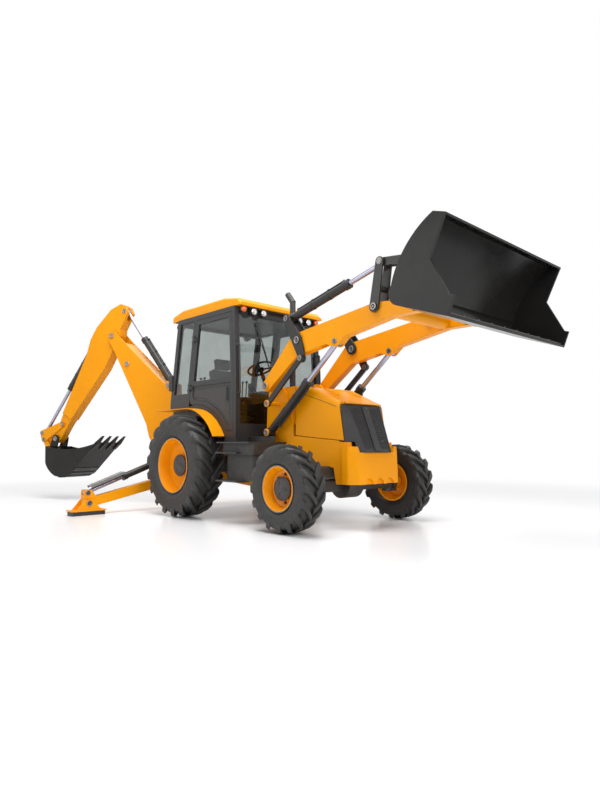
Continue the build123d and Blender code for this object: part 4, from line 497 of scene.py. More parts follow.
wheels = {}
tyre_makes = (("rear", 18, 0.045, 0.088, 0.27), ("front", 16, 0.038, 0.074, 0.20))
for axle, lug_count, lug_height, lug_thick, lug_sweep in tyre_makes:
    for hand_name, outward in (("left", 1), ("right", -1)):
        low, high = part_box(f"tyre_{axle}_{hand_name}")
        rim_low, rim_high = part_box(f"rim_{axle}_{hand_name}")
        centre = (low + high) / 2
        tip = (high.x - low.x) / 2
        centre.z = tip
        half = (high.y - low.y) / 2
        rim = (rim_high.z - rim_low.z) / 2
        wall = tip - rim
        casing = tip - lug_height
        wheels[axle, hand_name] = (centre, tip, half, rim, outward)
        half_section = [
            (0.70, rim - 0.004),
            (0.79, rim + 0.004),
            (0.83, rim + 0.016),
            (0.86, rim + 0.020),
            (0.90, rim + 0.10 * wall),
            (0.955, rim + 0.22 * wall),
            (0.965, rim + 0.235 * wall),
            (0.972, rim + 0.25 * wall),
            (0.968, rim + 0.27 * wall),
            (0.985, rim + 0.36 * wall),
            (0.990, rim + 0.50 * wall),
            (0.980, rim + 0.60 * wall),
            (0.982, rim + 0.615 * wall),
            (0.970, rim + 0.64 * wall),
            (0.935, rim + 0.73 * wall),
            (0.86, casing - 0.028),
            (0.74, casing - 0.010),
            (0.45, casing - 0.003),
            (0.0, casing),
        ]
        section = [(centre.x, centre.y + a * half, centre.z + r) for a, r in half_section]
        section += [(centre.x, centre.y - a * half, centre.z + r) for a, r in reversed(half_section[:-1])]
        bm = bmesh.new()
        turned(bm, section, centre, (0, 1, 0), 88)
        quarter = math.pi / lug_count / 2
        for hand in (-1, 1):
            start = quarter * hand
            lug_row(bm, hand, centre, half, tip - 0.001, casing, lug_count, lug_thick, lug_sweep, start)
        rounded_by_angle(bm, 32.0)
        tyre_name = f"tyre_{axle}_{hand_name}"
        settled(bm, "lugged_" + tyre_name, rubber, f"wheel_{axle}_{hand_name}", (tyre_name,))

# Wheel rims: pressed steel discs with a rolled lip, a bare steel bead ring round it, and a
# cast hub cover held by a circle of wheel nuts.
bead_steel = grained("bead_steel", (0.15, 0.15, 0.15), (0.11, 0.11, 0.11), 0.40, 0.08, 300.0, 0.05, 1.0)
hub_base = (0.052, 0.051, 0.051)
hub_bloom = (0.070, 0.068, 0.066)
hub_iron = grained("hub_cover_iron", hub_base, hub_bloom, 0.50, 0.08, 160.0, 0.2, 0.3, 0.0, 0.004)


def add_bar(bm, start, end, radius, sides=20, tip_radius=None):
    """A round bar between two places, closed at both ends."""
    run = Vector(end) - Vector(start)
    middle = Matrix.Translation((Vector(start) + Vector(end)) / 2)
    place = middle @ run.to_track_quat("Z", "Y").to_matrix().to_4x4()
    tip_radius = radius if tip_radius is None else tip_radius
    bmesh.ops.create_cone(
        bm, cap_ends=True, segments=sides, radius1=radius, radius2=tip_radius,
        depth=run.length, matrix=place,
    )


def add_turned(bm, place, axis, profile, steps=40):
    """Turns a profile of (radius, height) pairs about an axis through a place."""
    axis = Vector(axis).normalized()
    across = axis.orthogonal().normalized()
    turned(bm, [Vector(place) + across * r + axis * h for r, h in profile], place, axis, steps)


def add_ring_of_nuts(bm, place, axis, circle, count, size, height):
    """Hexagon nuts with their stud ends on a circle."""
    axis = Vector(axis).normalized()
    across = axis.orthogonal().normalized()
    for i in range(count):
        spot = Vector(place) + Matrix.Rotation(2 * math.pi * i / count, 3, axis) @ across * circle
        add_bar(bm, spot, spot + axis * height, size, 6)
        add_bar(bm, spot + axis * height, spot + axis * (height + 0.006), size * 0.55, 12)


def outer_face(names, place, axis, near, limit=0.3):
    """How far pieces reach along an axis close to a place, and the piece that reaches farthest."""
    best = (-limit, None)
    for name in names:
        for v in nodes[name].data.vertices:
            step = v.co - place
            height = step.dot(axis)
            if best[0] < height < limit and (step - axis * height).length < near:
                best = (height, name)
    return best


for (axle, hand_name), (centre, tip, half, rim, outward) in wheels.items():
    out = Vector((0, outward, 0))
    rim_name = f"rim_{axle}_{hand_name}"
    body = f"wheel_{axle}_{hand_name}"
    lip = outer_face([rim_name], centre, out, rim * 1.01)[0]
    dish = outer_face([rim_name], centre, out, rim * 0.45)[0]
    bm = bmesh.new()
    add_turned(bm, centre + out * (lip - 0.012), out, [
        (rim - 0.010, 0.0), (rim + 0.004, 0.0), (rim + 0.008, 0.006), (rim + 0.006, 0.013),
        (rim - 0.002, 0.015), (rim - 0.010, 0.010), (rim - 0.010, 0.0),
    ], 72)
    rounded_by_angle(bm, 60.0)
    settled(bm, f"bead_ring_{axle}_{hand_name}", bead_steel, body)
    bm = bmesh.new()
    cover = rim * (0.40 if axle == "rear" else 0.53)
    add_turned(bm, centre + out * dish, out, [
        (cover, -0.004), (cover, 0.012), (cover - 0.008, 0.020), (cover * 0.80, 0.024),
        (cover * 0.76, 0.030), (cover * 0.30, 0.034), (cover * 0.26, 0.030), (0.0, 0.030),
    ], 56)
    for i in range(3):
        spoke = Matrix.Rotation(2 * math.pi * i / 3, 3, out) @ Vector((1, 0, 0))
        spot = centre + out * (dish + 0.024) + spoke * cover * 0.52
        add_turned(
            bm, spot, out,
            [(cover * 0.15, 0.0), (cover * 0.15, 0.014), (cover * 0.11, 0.016), (0.0, 0.010)], 20,
        )
    rounded_by_angle(bm, 40.0)
    settled(bm, f"hub_cover_{axle}_{hand_name}", hub_iron, body)
    bm = bmesh.new()
    bolt_circle = rim * (0.52 if axle == "rear" else 0.62)
    seat = outer_face([rim_name], centre + Vector((bolt_circle, 0, 0)), out, rim * 0.12)[0]
    add_ring_of_nuts(
        bm, centre + out * (seat - 0.004), out, bolt_circle, 10 if axle == "rear" else 8, 0.016, 0.022
    )
    settled(bm, f"wheel_nuts_{axle}_{hand_name}", bead_steel, body)

# Ram rods: ground steel bars, hard chromed where the seals run. The pins they turn on are
# plain ground steel.
chrome = grained("hard_chrome", (0.44, 0.44, 0.54), (0.38, 0.38, 0.48), 0.20, 0.05, 400.0, 0.02, 1.0)
finish_node(
    chrome, "lift_rods", "tilt_rods", "boom_rod", "dipper_rod", "bucket_rod", "leg_rod_right",
    "leg_rod_left",
)
pin_steel = grained("pin_steel", (0.30, 0.29, 0.28), (0.22, 0.21, 0.20), 0.36, 0.10, 260.0, 0.08, 1.0)
finish_node(pin_steel, "rocker_pins", "bucket_pins", "link_pins")

# Ram barrels: honed tubes with a screwed gland at the rod's end and a steel pipe clamped
# along the outside that feeds it.
slew_x = -1.360
slew_turn = math.radians(22.0)
arm_y = 0.500
leg_x = -1.080


def loader_side(hand):
    """Places on one loader arm's side view: (forward, up) and a step outwards."""
    return lambda point, step=0.0: Vector((point[0], hand * (arm_y + step), point[1]))


def backhoe_side(point, step=0.0):
    """Places on the slewed backhoe's side view: (out from the slew pin, up) and a step sideways."""
    c, s = math.cos(slew_turn), math.sin(slew_turn)
    return Vector((slew_x - c * point[0] - s * step, -s * point[0] + c * step, point[1]))


def leg_side(hand):
    """Places on a stabiliser's rear view: (out from the middle, up) and a step backwards."""
    return lambda point, step=0.0: Vector((leg_x - step, hand * point[0], point[1]))


lift_ram = ((1.300, 1.140), (2.492, 2.167), 0.925, 0.052)
tilt_ram = ((1.687, 2.554), (3.176, 2.943), 1.029, 0.050)
boom_ram = ((0.190, 1.290), (1.236, 2.402), 1.190, 0.062)
dipper_ram = ((0.345, 1.985), (1.370, 3.363), 1.080, 0.058)
bucket_ram = ((2.066, 2.892), (3.301, 1.211), 1.090, 0.052)
leg_ram = ((0.420, 0.845), (1.876, 0.309), 0.975, 0.048)
pipe_radius = 0.011
gland_length = 0.045
gland_lip = 0.007


def dress_ram(bm_gland, bm_pipe, view, ram, piped_side, port=0.16):
    """A gland ring at the barrel's end, and a clamped pipe along one side of the barrel."""
    base, eye_pin, length, radius = ram
    start = view(base)
    run = (view(eye_pin) - start).normalized()
    edge = start + run * (length - gland_length)
    add_turned(bm_gland, edge, run, [
        (radius - 0.004, 0.0), (radius + gland_lip, 0.0), (radius + gland_lip, 0.018),
        (radius + 0.002, 0.022),
        (radius + 0.002, 0.028), (radius + gland_lip, 0.032), (radius + gland_lip - 0.002, gland_length),
        (radius - 0.004, gland_length),
    ], 32)
    if not piped_side:
        return
    flat = view((1.0, 0.0)) - view((0.0, 0.0))
    upright = Vector((0, 0, 1))
    normal = (upright * run.dot(flat) - flat * run.dot(upright)).normalized() * piped_side
    lift = normal * (radius + pipe_radius + 0.006)
    near, far = start + run * port, edge - run * 0.03
    add_bar(bm_pipe, near + lift, far + lift, pipe_radius, 14)
    for spot in (near, far):
        add_bar(bm_pipe, spot + normal * (radius - 0.004), spot + lift, pipe_radius * 1.5, 14)
        ball = Matrix.Translation(spot + lift)
        bmesh.ops.create_uvsphere(
            bm_pipe, u_segments=14, v_segments=8, radius=pipe_radius * 1.55, matrix=ball
        )
    for share in (0.33, 0.68):
        spot = near.lerp(far, share)
        add_turned(bm_pipe, spot - run * 0.012, run, [
            (radius - 0.003, 0.0), (radius + 0.004, 0.0),
            (radius + 0.004, 0.024), (radius - 0.003, 0.024),
        ], 32)
        add_bar(bm_pipe, spot + lift - run * 0.012, spot + lift + run * 0.012, pipe_radius + 0.005, 14)


for name, body, rams in (
    ("lift", "lift_barrels", [(loader_side(h), lift_ram, -1, 0.20) for h in (-1, 1)]),
    ("tilt", "tilt_barrels", [(loader_side(h), tilt_ram, 1, 0.16) for h in (-1, 1)]),
    ("boom", "boom_barrel", [(backhoe_side, boom_ram, 0, 0.0)]),
    ("dipper", "dipper_barrel", [(backhoe_side, dipper_ram, 1, 0.16)]),
    ("bucket", "bucket_barrel", [(backhoe_side, bucket_ram, 1, 0.30)]),
    ("leg_right", "leg_barrel_right", [(leg_side(-1), leg_ram, 0, 0.0)]),
    ("leg_left", "leg_barrel_left", [(leg_side(1), leg_ram, 0, 0.0)]),
):
    glands = bmesh.new()
    pipes = bmesh.new()
    for view, ram, piped_side, port in rams:
        dress_ram(glands, pipes, view, ram, piped_side, port)
    rounded_by_angle(glands)
    settled(glands, f"gland_{name}", pin_steel, body)
    if pipes.verts:
        rounded_by_angle(pipes)
        settled(pipes, f"feed_pipe_{name}", black_paint, body)
    else:
        pipes.free()

# Pin heads: each pivot pin ends in a turned flange with a countersunk middle and one
# bolt.
loader_pins = (
    ((1.275, 1.739), ("main_frame", "loader_arms"), 0.046),
    ((1.883, 2.256), ("loader_arms", "bellcranks"), 0.046),
    ((1.976, 2.021), ("bellcranks", "tie_rods"), 0.034),
    ((1.368, 1.504), ("main_frame", "tie_rods"), 0.034),
    ((1.687, 2.554), ("bellcranks", "tilt_barrels"), 0.036),
    ((3.097, 2.461), ("rockers", "loader_arms", "rocker_pins"), 0.040),
    ((3.176, 2.943), ("rockers", "bucket_links"), 0.038),
    ((3.640, 2.395), ("loader_bucket", "bucket_pins"), 0.044),
    ((3.719, 2.877), ("loader_bucket", "bucket_links", "link_pins"), 0.036),
    ((1.300, 1.140), ("main_frame", "lift_barrels"), 0.038),
    ((2.492, 2.167), ("loader_arms",), 0.036),
)
backhoe_pins = (
    ((0.330, 0.720), ("slew_post", "boom"), 0.050),
    ((1.605, 2.927), ("boom", "dipper"), 0.050),
    ((0.190, 1.290), ("slew_post", "boom_barrel"), 0.042),
    ((1.236, 2.402), ("boom",), 0.046),
    ((0.345, 1.985), ("boom",), 0.044),
    ((1.370, 3.363), ("dipper",), 0.044),
    ((2.066, 2.892), ("dipper",), 0.042),
    ((2.781, 1.374), ("dipper", "tipping_lever"), 0.042),
    ((2.917, 1.100), ("digger_bucket", "dipper"), 0.044),
    ((3.301, 1.211), ("tipping_lever",), 0.040),
    ((3.257, 1.085), ("tipping_lever", "digger_link"), 0.040),
    ((3.078, 0.792), ("digger_bucket", "digger_link"), 0.038),
)
leg_pins = (
    ((0.450, 0.472), ("main_frame",), 0.040),
    ((1.864, 0.166), ("pad_{}", "leg_{}"), 0.040),
    ((1.876, 0.309), ("leg_{}",), 0.036),
    ((0.420, 0.845), ("main_frame",), 0.038),
)
pin_head_height = 0.004
pin_heads = {}


def add_pin_head(place, axis, names, radius):
    """A pin's flange and bolt on the outermost plate it passes through."""
    height, name = outer_face(names, place, axis, radius * 1.9)
    if name is None:
        return
    bm = pin_heads.setdefault(body_of(nodes[name])[0], bmesh.new())
    face = place + axis * (height - 0.001)
    add_turned(bm, face, axis, [
        (radius, 0.0), (radius, pin_head_height), (radius - 0.002, pin_head_height + 0.001),
        (radius * 0.62, pin_head_height + 0.001), (radius * 0.55, 0.001), (0.0, 0.001),
    ], 28)
    add_bar(bm, face, face + axis * (pin_head_height + 0.001), radius * 0.30, 6)


for hand in (-1, 1):
    for point, names, radius in loader_pins:
        for way in (-1, 1):
            add_pin_head(loader_side(hand)(point), Vector((0, way, 0)), names, radius)
    across = backhoe_side((0, 0), 1.0) - backhoe_side((0, 0))
    for point, names, radius in backhoe_pins:
        add_pin_head(backhoe_side(point), across * hand, names, radius)
    for point, names, radius in leg_pins:
        named = [name.format("left" if hand > 0 else "right") for name in names]
        for way in (-1, 1):
            add_pin_head(leg_side(hand)(point), Vector((way, 0, 0)), named, radius)
for body, bm in pin_heads.items():
    rounded_by_angle(bm)
    settled(bm, f"pin_heads_{body}", pin_steel, body)

# Bonnet: one deep pressed panel with a shut line along each side, drawn as a strip of painted
# shade, two rows of cooling louvres in its top and a round key lock on the nose.
plastic = grained(
    "dark_plastic", (0.020, 0.020, 0.021), (0.027, 0.027, 0.027), 0.52, 0.06, 420.0, 0.12, 0.0, 0.0, 0.003
)
# near-black strips of painted shade stand in for the dark inside the bonnet's shut-line gaps
gap_painted_shade = grained("shut_line_painted_shade", (0.010, 0.009, 0.008), (0.014, 0.012, 0.010), 0.8, 0.05, 100.0)


def add_block(bm, centre, size, axes=None, edge=0.004):
    """A block with eased edges, its sides along the given axes."""
    turn = Matrix(axes).transposed().to_4x4() if axes else Matrix()
    place = Matrix.Translation(centre) @ turn @ Matrix.Diagonal((*size, 1.0))
    made = bmesh.ops.create_cube(bm, size=1.0, matrix=place)["verts"]
    edges = list({e for v in made for e in v.link_edges})
    bmesh.ops.bevel(bm, geom=edges, offset=edge, segments=2, profile=0.5, affect="EDGES", material=-1)


def on_skin(name, start, towards):
    """Where a line from a place first meets a CAD piece, and how the skin faces there."""
    hit, place, normal, _ = nodes[name].ray_cast(Vector(start), Vector(towards).normalized())
    return (place, normal) if hit else (None, None)


def axes_on(normal, along):
    """Three axes of a block that lies on a skin: along a line, across it and out of the skin."""
    out = Vector(normal).normalized()
    run = (Vector(along) - out * Vector(along).dot(out)).normalized()
    return (run, out.cross(run), out)


# each shut line is a thin near-black block on the skin: painted shade for the gap
seam_width = 0.005
seam_depth = 0.003
seam_line = [(1.70, 1.640), (1.95, 1.565), (2.18, 1.490), (2.36, 1.430)]
bm = bmesh.new()
for hand in (-1, 1):
    for (x0, z0), (x1, z1) in zip(seam_line, seam_line[1:]):
        run = Vector((x1 - x0, 0, z1 - z0))
        spot, normal = on_skin("bonnet", ((x0 + x1) / 2, hand * 0.9, (z0 + z1) / 2), (0, -hand, 0))
        if spot:
            add_block(
                bm, spot, (run.length + 0.002, seam_width, seam_depth), axes_on(normal, run), 0.0008
            )
settled(bm, "bonnet_shut_line_shade", gap_painted_shade, "bonnet")
louvre_count = 14
louvre_start = 1.86
louvre_pitch = 0.026
louvre_y = 0.20
louvre_size = (0.008, 0.10, 0.006)
bm = bmesh.new()
for hand in (-1, 1):
    for i in range(louvre_count):
        above = (louvre_start + louvre_pitch * i, hand * louvre_y, 3.0)
        spot, normal = on_skin("bonnet", above, (0, 0, -1))
        if spot:
            add_block(bm, spot, louvre_size, axes_on(normal, (1, 0, 0)), 0.002)
settled(bm, "bonnet_louvres", yellow_paint, "bonnet")

# Grille: a black screen of thin slats in a moulded nose frame, split by a raised middle
# spine, with plain slatted facets wrapping round to the bonnet's sides.
grille_low = 0.890
grille_high = 1.452
finish_node(plastic, "grille")
nose_top = Vector((2.449, 0.0, grille_high))
nose_foot = Vector((2.673, 0.0, grille_low))
slope = (nose_foot - nose_top).normalized()
nose_out = Vector((-slope.z, 0.0, slope.x))
nose_length = (nose_foot - nose_top).length
slat_pitch = 0.0105
slat_margin = 0.035
slat_inner = 0.072
nose_half_top = 0.290
nose_half_foot = 0.232
frame_width = 0.022
spine_width = 0.120
bm = bmesh.new()
slats = int((nose_length - 2 * slat_margin) / slat_pitch)
for i in range(slats):
    share = (slat_margin + slat_pitch * i) / nose_length
    edge_half = nose_half_top + (nose_half_foot - nose_half_top) * share - frame_width
    spot = nose_top.lerp(nose_foot, share) + nose_out * 0.002
    for hand in (-1, 1):
        middle = spot + Vector((0, hand * (edge_half + slat_inner) / 2, 0))
        size = Matrix.Diagonal((0.0065, edge_half - slat_inner, 0.006, 1.0))
        turn = Matrix((slope, (0, 1, 0), nose_out)).transposed().to_4x4()
        bmesh.ops.create_cube(bm, size=1.0, matrix=Matrix.Translation(middle) @ turn @ size)
settled(bm, "grille_slats", plastic, "chassis")
bm = bmesh.new()
middle = nose_top.lerp(nose_foot, 0.5) + nose_out * 0.004
add_block(
    bm, middle, (nose_length - 0.03, spine_width, 0.016), (slope, Vector((0, 1, 0)), nose_out), 0.005
)
for hand in (-1, 1):
    top = nose_top + Vector((0, hand * 0.281, 0))
    foot = nose_foot + Vector((0, hand * 0.224, 0))
    run = (foot - top).normalized()
    across = nose_out.cross(run)
    add_block(
        bm, (top + foot) / 2, ((foot - top).length - 0.02, 0.016, 0.014), (run, across, nose_out), 0.004
    )
settled(bm, "grille_spine", plastic, "chassis")
bm = bmesh.new()
lock = nose_top.lerp(nose_foot, 0.07) + nose_out * 0.012
add_turned(
    bm, lock, nose_out,
    [(0.013, 0.0), (0.013, 0.004), (0.011, 0.006), (0.004, 0.006), (0.003, 0.003), (0.0, 0.003)], 24,
)
settled(bm, "bonnet_lock", bead_steel, "chassis")

# Cab glazing: grey tinted toughened panes, bonded into the frame and the doors with a
# black rubber bead.
cab_tint = bpy.data.materials.new("tinted_pane")
cab_tint.use_nodes = True
tree = cab_tint.node_tree
shader = tree.nodes["Principled BSDF"]
pane_place = tree.nodes.new("ShaderNodeTexCoord").outputs["Object"]
pane_film = ranged(tree, noise_node(tree, pane_place, 3.0, 4.0), 0.3, 0.7, 0.0, 1.0)
tree.links.new(
    mixed(tree, pane_film, (0.52, 0.56, 0.55, 1.0), (0.58, 0.61, 0.60, 1.0)), shader.inputs["Base Color"]
)
tree.links.new(
    ranged(tree, noise_node(tree, pane_place, 9.0, 3.0), 0.4, 0.8, 0.01, 0.05), shader.inputs["Roughness"]
)
shader.inputs["IOR"].default_value = 1.45
shader.inputs["Transmission Weight"].default_value = 1.0
finish_node(cab_tint, "cab_glass", "door_right_glass", "door_left_glass")

# Door fittings: a pull handle with its key button, and a pressed steel lower panel with a
# swaged border in place of glass.
panel_grey = painted_finish(
    "door_panel_grey", (0.050, 0.049, 0.047), (0.058, 0.057, 0.055), 0.42, 0.0, 0.08, 0.003, 0.02, 0.3
)
door_rail_z = 1.85
panel_proud = 0.766
handle_x = 0.735
handle_z = 1.660
grip_half = 0.075
grip_stand = 0.026
panel_swage = ((0.040, 0.0), (0.005, 0.004), (0.014, 0.0), (0.005, -0.004))
for hand, door in ((-1, "door_right"), (1, "door_left")):
    bm = bmesh.new()
    out = Vector((0, hand, 0))
    spot = Vector((handle_x, hand * panel_proud, handle_z))
    add_block(bm, spot, (0.062, 0.012, 0.220), None, 0.005)
    grip = spot + out * grip_stand
    add_bar(bm, grip + Vector((0, 0, -grip_half)), grip + Vector((0, 0, grip_half)), 0.010, 16)
    for z in (-grip_half, grip_half):
        foot = spot + Vector((0, 0, z))
        add_bar(bm, foot, foot + out * 0.027, 0.011, 16)
    add_turned(
        bm, spot + Vector((0, 0, 0.096)) + out * 0.005, out, [(0.012, 0.0), (0.012, 0.006), (0.0, 0.008)],
        20,
    )
    rounded_by_angle(bm)
    settled(bm, f"{door}_handle", plastic, door)
    bm = bmesh.new()
    bm.from_mesh(nodes[f"{door}_glass"].data)
    bmesh.ops.delete(bm, geom=[v for v in bm.verts if v.co.z > door_rail_z], context="VERTS")
    bmesh.ops.remove_doubles(bm, verts=bm.verts[:], dist=1e-4)
    bmesh.ops.dissolve_limit(bm, angle_limit=0.02, verts=bm.verts[:], edges=bm.edges[:])
    pane_y = sum(v.co.y for v in bm.verts) / len(bm.verts)
    for v in bm.verts:
        v.co.y = pane_y + (v.co.y - pane_y) * 2.0
    bm.normal_update()
    outer = [f for f in bm.faces if f.normal.y * hand > 0.9]
    for width, depth in panel_swage:
        bmesh.ops.inset_region(bm, faces=outer, thickness=width, depth=depth, use_even_offset=False)
    settled(bm, f"{door}_lower_panel", panel_grey, door)

# Cab outside trim: black grab rails on the front pillars, a parallel-arm wiper on the
# windscreen, and a rubber weather strip under the roof's edges.
rail_y = 0.745
rail_foot_z = 1.66
rail_head_z = 2.30
rail_stand = 0.045
rail_radius = 0.012
bm = bmesh.new()
for hand in (-1, 1):
    foot, _ = on_skin("cab_frame", (2.0, hand * rail_y, rail_foot_z), (-1, 0, 0))
    head, _ = on_skin("cab_frame", (2.0, hand * rail_y, rail_head_z), (-1, 0, 0))
    if foot and head:
        out = Vector((rail_stand, 0, 0))
        add_bar(bm, foot + out, head + out, rail_radius, 18)
        for spot in (foot, head):
            add_bar(bm, spot - out * 0.2, spot + out, rail_radius, 18)
            bmesh.ops.create_uvsphere(
                bm, u_segments=18, v_segments=10, radius=0.0122, matrix=Matrix.Translation(spot + out)
            )
            add_turned(
                bm, spot, (1, 0, 0), [(0.026, -0.004), (0.026, 0.004), (0.014, 0.008), (0.0, 0.008)], 24
            )
rounded_by_angle(bm)
settled(bm, "cab_grab_rails", plastic, "chassis")
bm = bmesh.new()
arm_top, _ = on_skin("cab_glass", (2.0, -0.40, 2.62), (-1, 0, 0))
arm_tip, _ = on_skin("cab_glass", (2.0, -0.22, 2.10), (-1, 0, 0))
if arm_top and arm_tip:
    proud = Vector((0.022, 0, 0))
    run = (arm_tip - arm_top).normalized()
    across = run.cross(Vector((1, 0, 0)))
    add_turned(
        bm, arm_top, (1, 0, 0), [(0.030, -0.002), (0.030, 0.018), (0.022, 0.026), (0.0, 0.026)], 24
    )
    add_block(
        bm, (arm_top + arm_tip) / 2 + proud, ((arm_tip - arm_top).length, 0.016, 0.008),
        (run, across, run.cross(across)), 0.003,
    )
    blade = Vector((0, 0.18, -0.42)).normalized()
    add_block(
        bm, arm_tip + proud * 0.55, (0.56, 0.012, 0.014),
        (blade, blade.cross(Vector((1, 0, 0))), Vector((1, 0, 0))), 0.003,
    )
settled(bm, "windscreen_wiper", plastic, "chassis")
roof_low, roof_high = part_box("cab_roof")
bm = bmesh.new()
for hand in (-1, 1):
    strip_y = hand * (roof_high.y - 0.012)
    middle = ((roof_low.x + roof_high.x) / 2 - 0.02, strip_y, roof_low.z - 0.006)
    add_block(bm, middle, (roof_high.x - roof_low.x - 0.24, 0.020, 0.026), None, 0.006)
for x in (roof_low.x + 0.10, roof_high.x - 0.05):
    add_block(bm, (x, 0, roof_low.z - 0.006), (0.020, 2 * roof_high.y - 0.14, 0.026), None, 0.006)
settled(bm, "roof_weather_strip", rubber, "chassis")

# Lamps: round sealed work lamps in black bezels under the roof, amber indicators outside
# them, and a red and amber tail cluster on each rear pillar.
lens = grained("lamp_lens", (0.80, 0.81, 0.84), (0.66, 0.67, 0.71), 0.14, 0.05, 90.0, 0.5, 0.8, 1.0)
amber = grained(
    "indicator_amber", (0.78, 0.135, 0.004), (0.70, 0.11, 0.003), 0.18, 0.04, 120.0, 0.3, 0.0, 1.0
)
tail_red = grained(
    "tail_red", (0.55, 0.012, 0.008), (0.48, 0.010, 0.007), 0.18, 0.04, 120.0, 0.3, 0.0, 1.0
)
lamp_spots = [((0.963, y, 2.772), 1) for y in (-0.511, -0.341, 0.341, 0.511)]
lamp_spots += [((-0.668, y, 2.772), -1) for y in (-0.640, 0.640)]
bezels = bmesh.new()
faces = bmesh.new()
for spot, way in lamp_spots:
    axis = Vector((way, 0, 0))
    add_turned(bezels, Vector(spot) - axis * 0.004, axis, [
        (0.052, 0.0), (0.056, 0.006), (0.055, 0.014), (0.050, 0.018), (0.046, 0.016), (0.044, 0.004),
    ], 40)
    add_turned(faces, Vector(spot) - axis * 0.002, axis, [
        (0.046, 0.004), (0.044, 0.010), (0.034, 0.0145), (0.018, 0.017), (0.0, 0.018),
    ], 40)
rounded_by_angle(bezels, 50.0)
rounded_by_angle(faces, 50.0)
settled(bezels, "lamp_bezels", plastic, "chassis")
settled(faces, "lamp_lenses", lens, "chassis")
bm = bmesh.new()
for y in (-0.675, 0.675):
    add_turned(bm, (0.943, y, 2.786), (1, 0, 0), [
        (0.040, 0.0), (0.041, 0.010), (0.037, 0.024), (0.026, 0.034), (0.012, 0.038), (0.0, 0.039),
    ], 36)
rounded_by_angle(bm, 50.0)
settled(bm, "side_indicators", amber, "chassis")
tail_x = -0.668
tail_y = 0.755
tail_z = 1.900
lens_x = tail_x - 0.042
boxes = bmesh.new()
reds = bmesh.new()
ambers = bmesh.new()
for hand in (-1, 1):
    add_block(boxes, (tail_x, hand * tail_y, tail_z), (0.085, 0.100, 0.230), None, 0.010)
    add_block(reds, (lens_x, hand * tail_y, tail_z - 0.045), (0.016, 0.084, 0.110), None, 0.006)
    add_block(ambers, (lens_x, hand * tail_y, tail_z + 0.062), (0.016, 0.084, 0.076), None, 0.006)
settled(boxes, "tail_lamp_boxes", plastic, "chassis")
settled(reds, "tail_lamp_red", tail_red, "chassis")
settled(ambers, "tail_lamp_amber", amber, "chassis")

# Operator's place: a sprung seat on a bellows box, a moulded dash with the steering column,
# and two lever stands at the back for the digger.
vinyl = grained("seat_vinyl", (0.030, 0.030, 0.032), (0.040, 0.039, 0.040), 0.62, 0.06, 700.0, 0.35)
floor_top = 1.145
bellows_width = 0.40
bellows_pitch = 0.052
bm = bmesh.new()
for i in range(5):
    side = bellows_width - 0.015 * (i % 2)
    add_block(bm, (-0.10, 0, floor_top + 0.035 + bellows_pitch * i), (side, side, 0.048), None, 0.012)
add_block(bm, (-0.11, 0, floor_top + 0.31), (0.46, 0.46, 0.06), None, 0.015)
settled(bm, "seat_base", plastic, "chassis", ("cab_interior",))


def add_cushion(bm, centre, size, axes, crown):
    """A crowned pad: its sides pull in between the corners and its top swells."""
    turn = Matrix(axes).transposed()
    made = bmesh.ops.create_cube(bm, size=1.0)["verts"]
    edges = list({e for v in made for e in v.link_edges})
    bmesh.ops.subdivide_edges(bm, edges=edges, cuts=7, use_grid_fill=True)
    for v in [v for v in bm.verts if not v.tag]:
        u, w, h = v.co
        swell = (1 - (2 * u) ** 2) * (1 - (2 * w) ** 2)
        along = 0.05 * (1 - (2 * u) ** 2) * abs(2 * w) ** 4
        across = 0.05 * (1 - (2 * w) ** 2) * abs(2 * u) ** 4
        pull = 1.0 - along - across
        groove = 0.10 * math.exp(-((abs(w) - 0.22) / 0.03) ** 2) if h > 0 else 0.0
        local = Vector((
            u * size[0] * pull,
            w * size[1] * pull,
            h * size[2] + (crown * swell - groove * size[2]) * (h > 0),
        ))
        v.co = Vector(centre) + turn @ local
        v.tag = True


bm = bmesh.new()
add_cushion(
    bm, (-0.09, 0, floor_top + 0.40), (0.50, 0.50, 0.11), ((1, 0, 0), (0, 1, 0), (0, 0, 1)), 0.030
)
back_run = Vector((-0.10, 0, 0.60)).normalized()
back_out = Vector((back_run.z, 0, -back_run.x))
add_cushion(
    bm, (-0.385, 0, floor_top + 0.71), (0.58, 0.48, 0.11), (back_run, Vector((0, -1, 0)), back_out), 0.030
)
add_cushion(
    bm, (-0.455, 0, floor_top + 1.09), (0.16, 0.26, 0.09), (back_run, Vector((0, -1, 0)), back_out), 0.018
)
for face in bm.faces:
    face.smooth = True
seat_pads = settled(bm, "seat_pads", vinyl, "chassis")
softened = seat_pads.modifiers.new("softened", "SUBSURF")
softened.levels = 1
softened.render_levels = 1
bm = bmesh.new()
add_block(bm, (0.74, 0, floor_top + 0.22), (0.20, 0.44, 0.44), None, 0.030)
add_block(bm, (0.70, 0, floor_top + 0.50), (0.26, 0.52, 0.16), None, 0.040)
add_block(bm, (0.20, -0.52, floor_top + 0.24), (0.62, 0.20, 0.48), None, 0.030)
for hand in (-1, 1):
    add_block(bm, (-0.42, hand * 0.40, floor_top + 0.30), (0.20, 0.20, 0.60), None, 0.030)
settled(bm, "dash_and_consoles", plastic, "chassis")
bm = bmesh.new()
column_foot = Vector((0.70, 0, floor_top + 0.50))
column_run = Vector((-0.230, 0, 0.470)).normalized()
hub = column_foot + column_run * 0.47
add_bar(bm, column_foot, hub, 0.034, 24, 0.026)
across = column_run.orthogonal().normalized()
grip = [
    (0.185 + 0.015 * math.cos(a * math.pi / 6), 0.025 + 0.015 * math.sin(a * math.pi / 6))
    for a in range(13)
]
add_turned(bm, hub, column_run, grip, 48)
add_turned(bm, hub, column_run, [(0.050, -0.01), (0.050, 0.020), (0.036, 0.030), (0.0, 0.032)], 28)
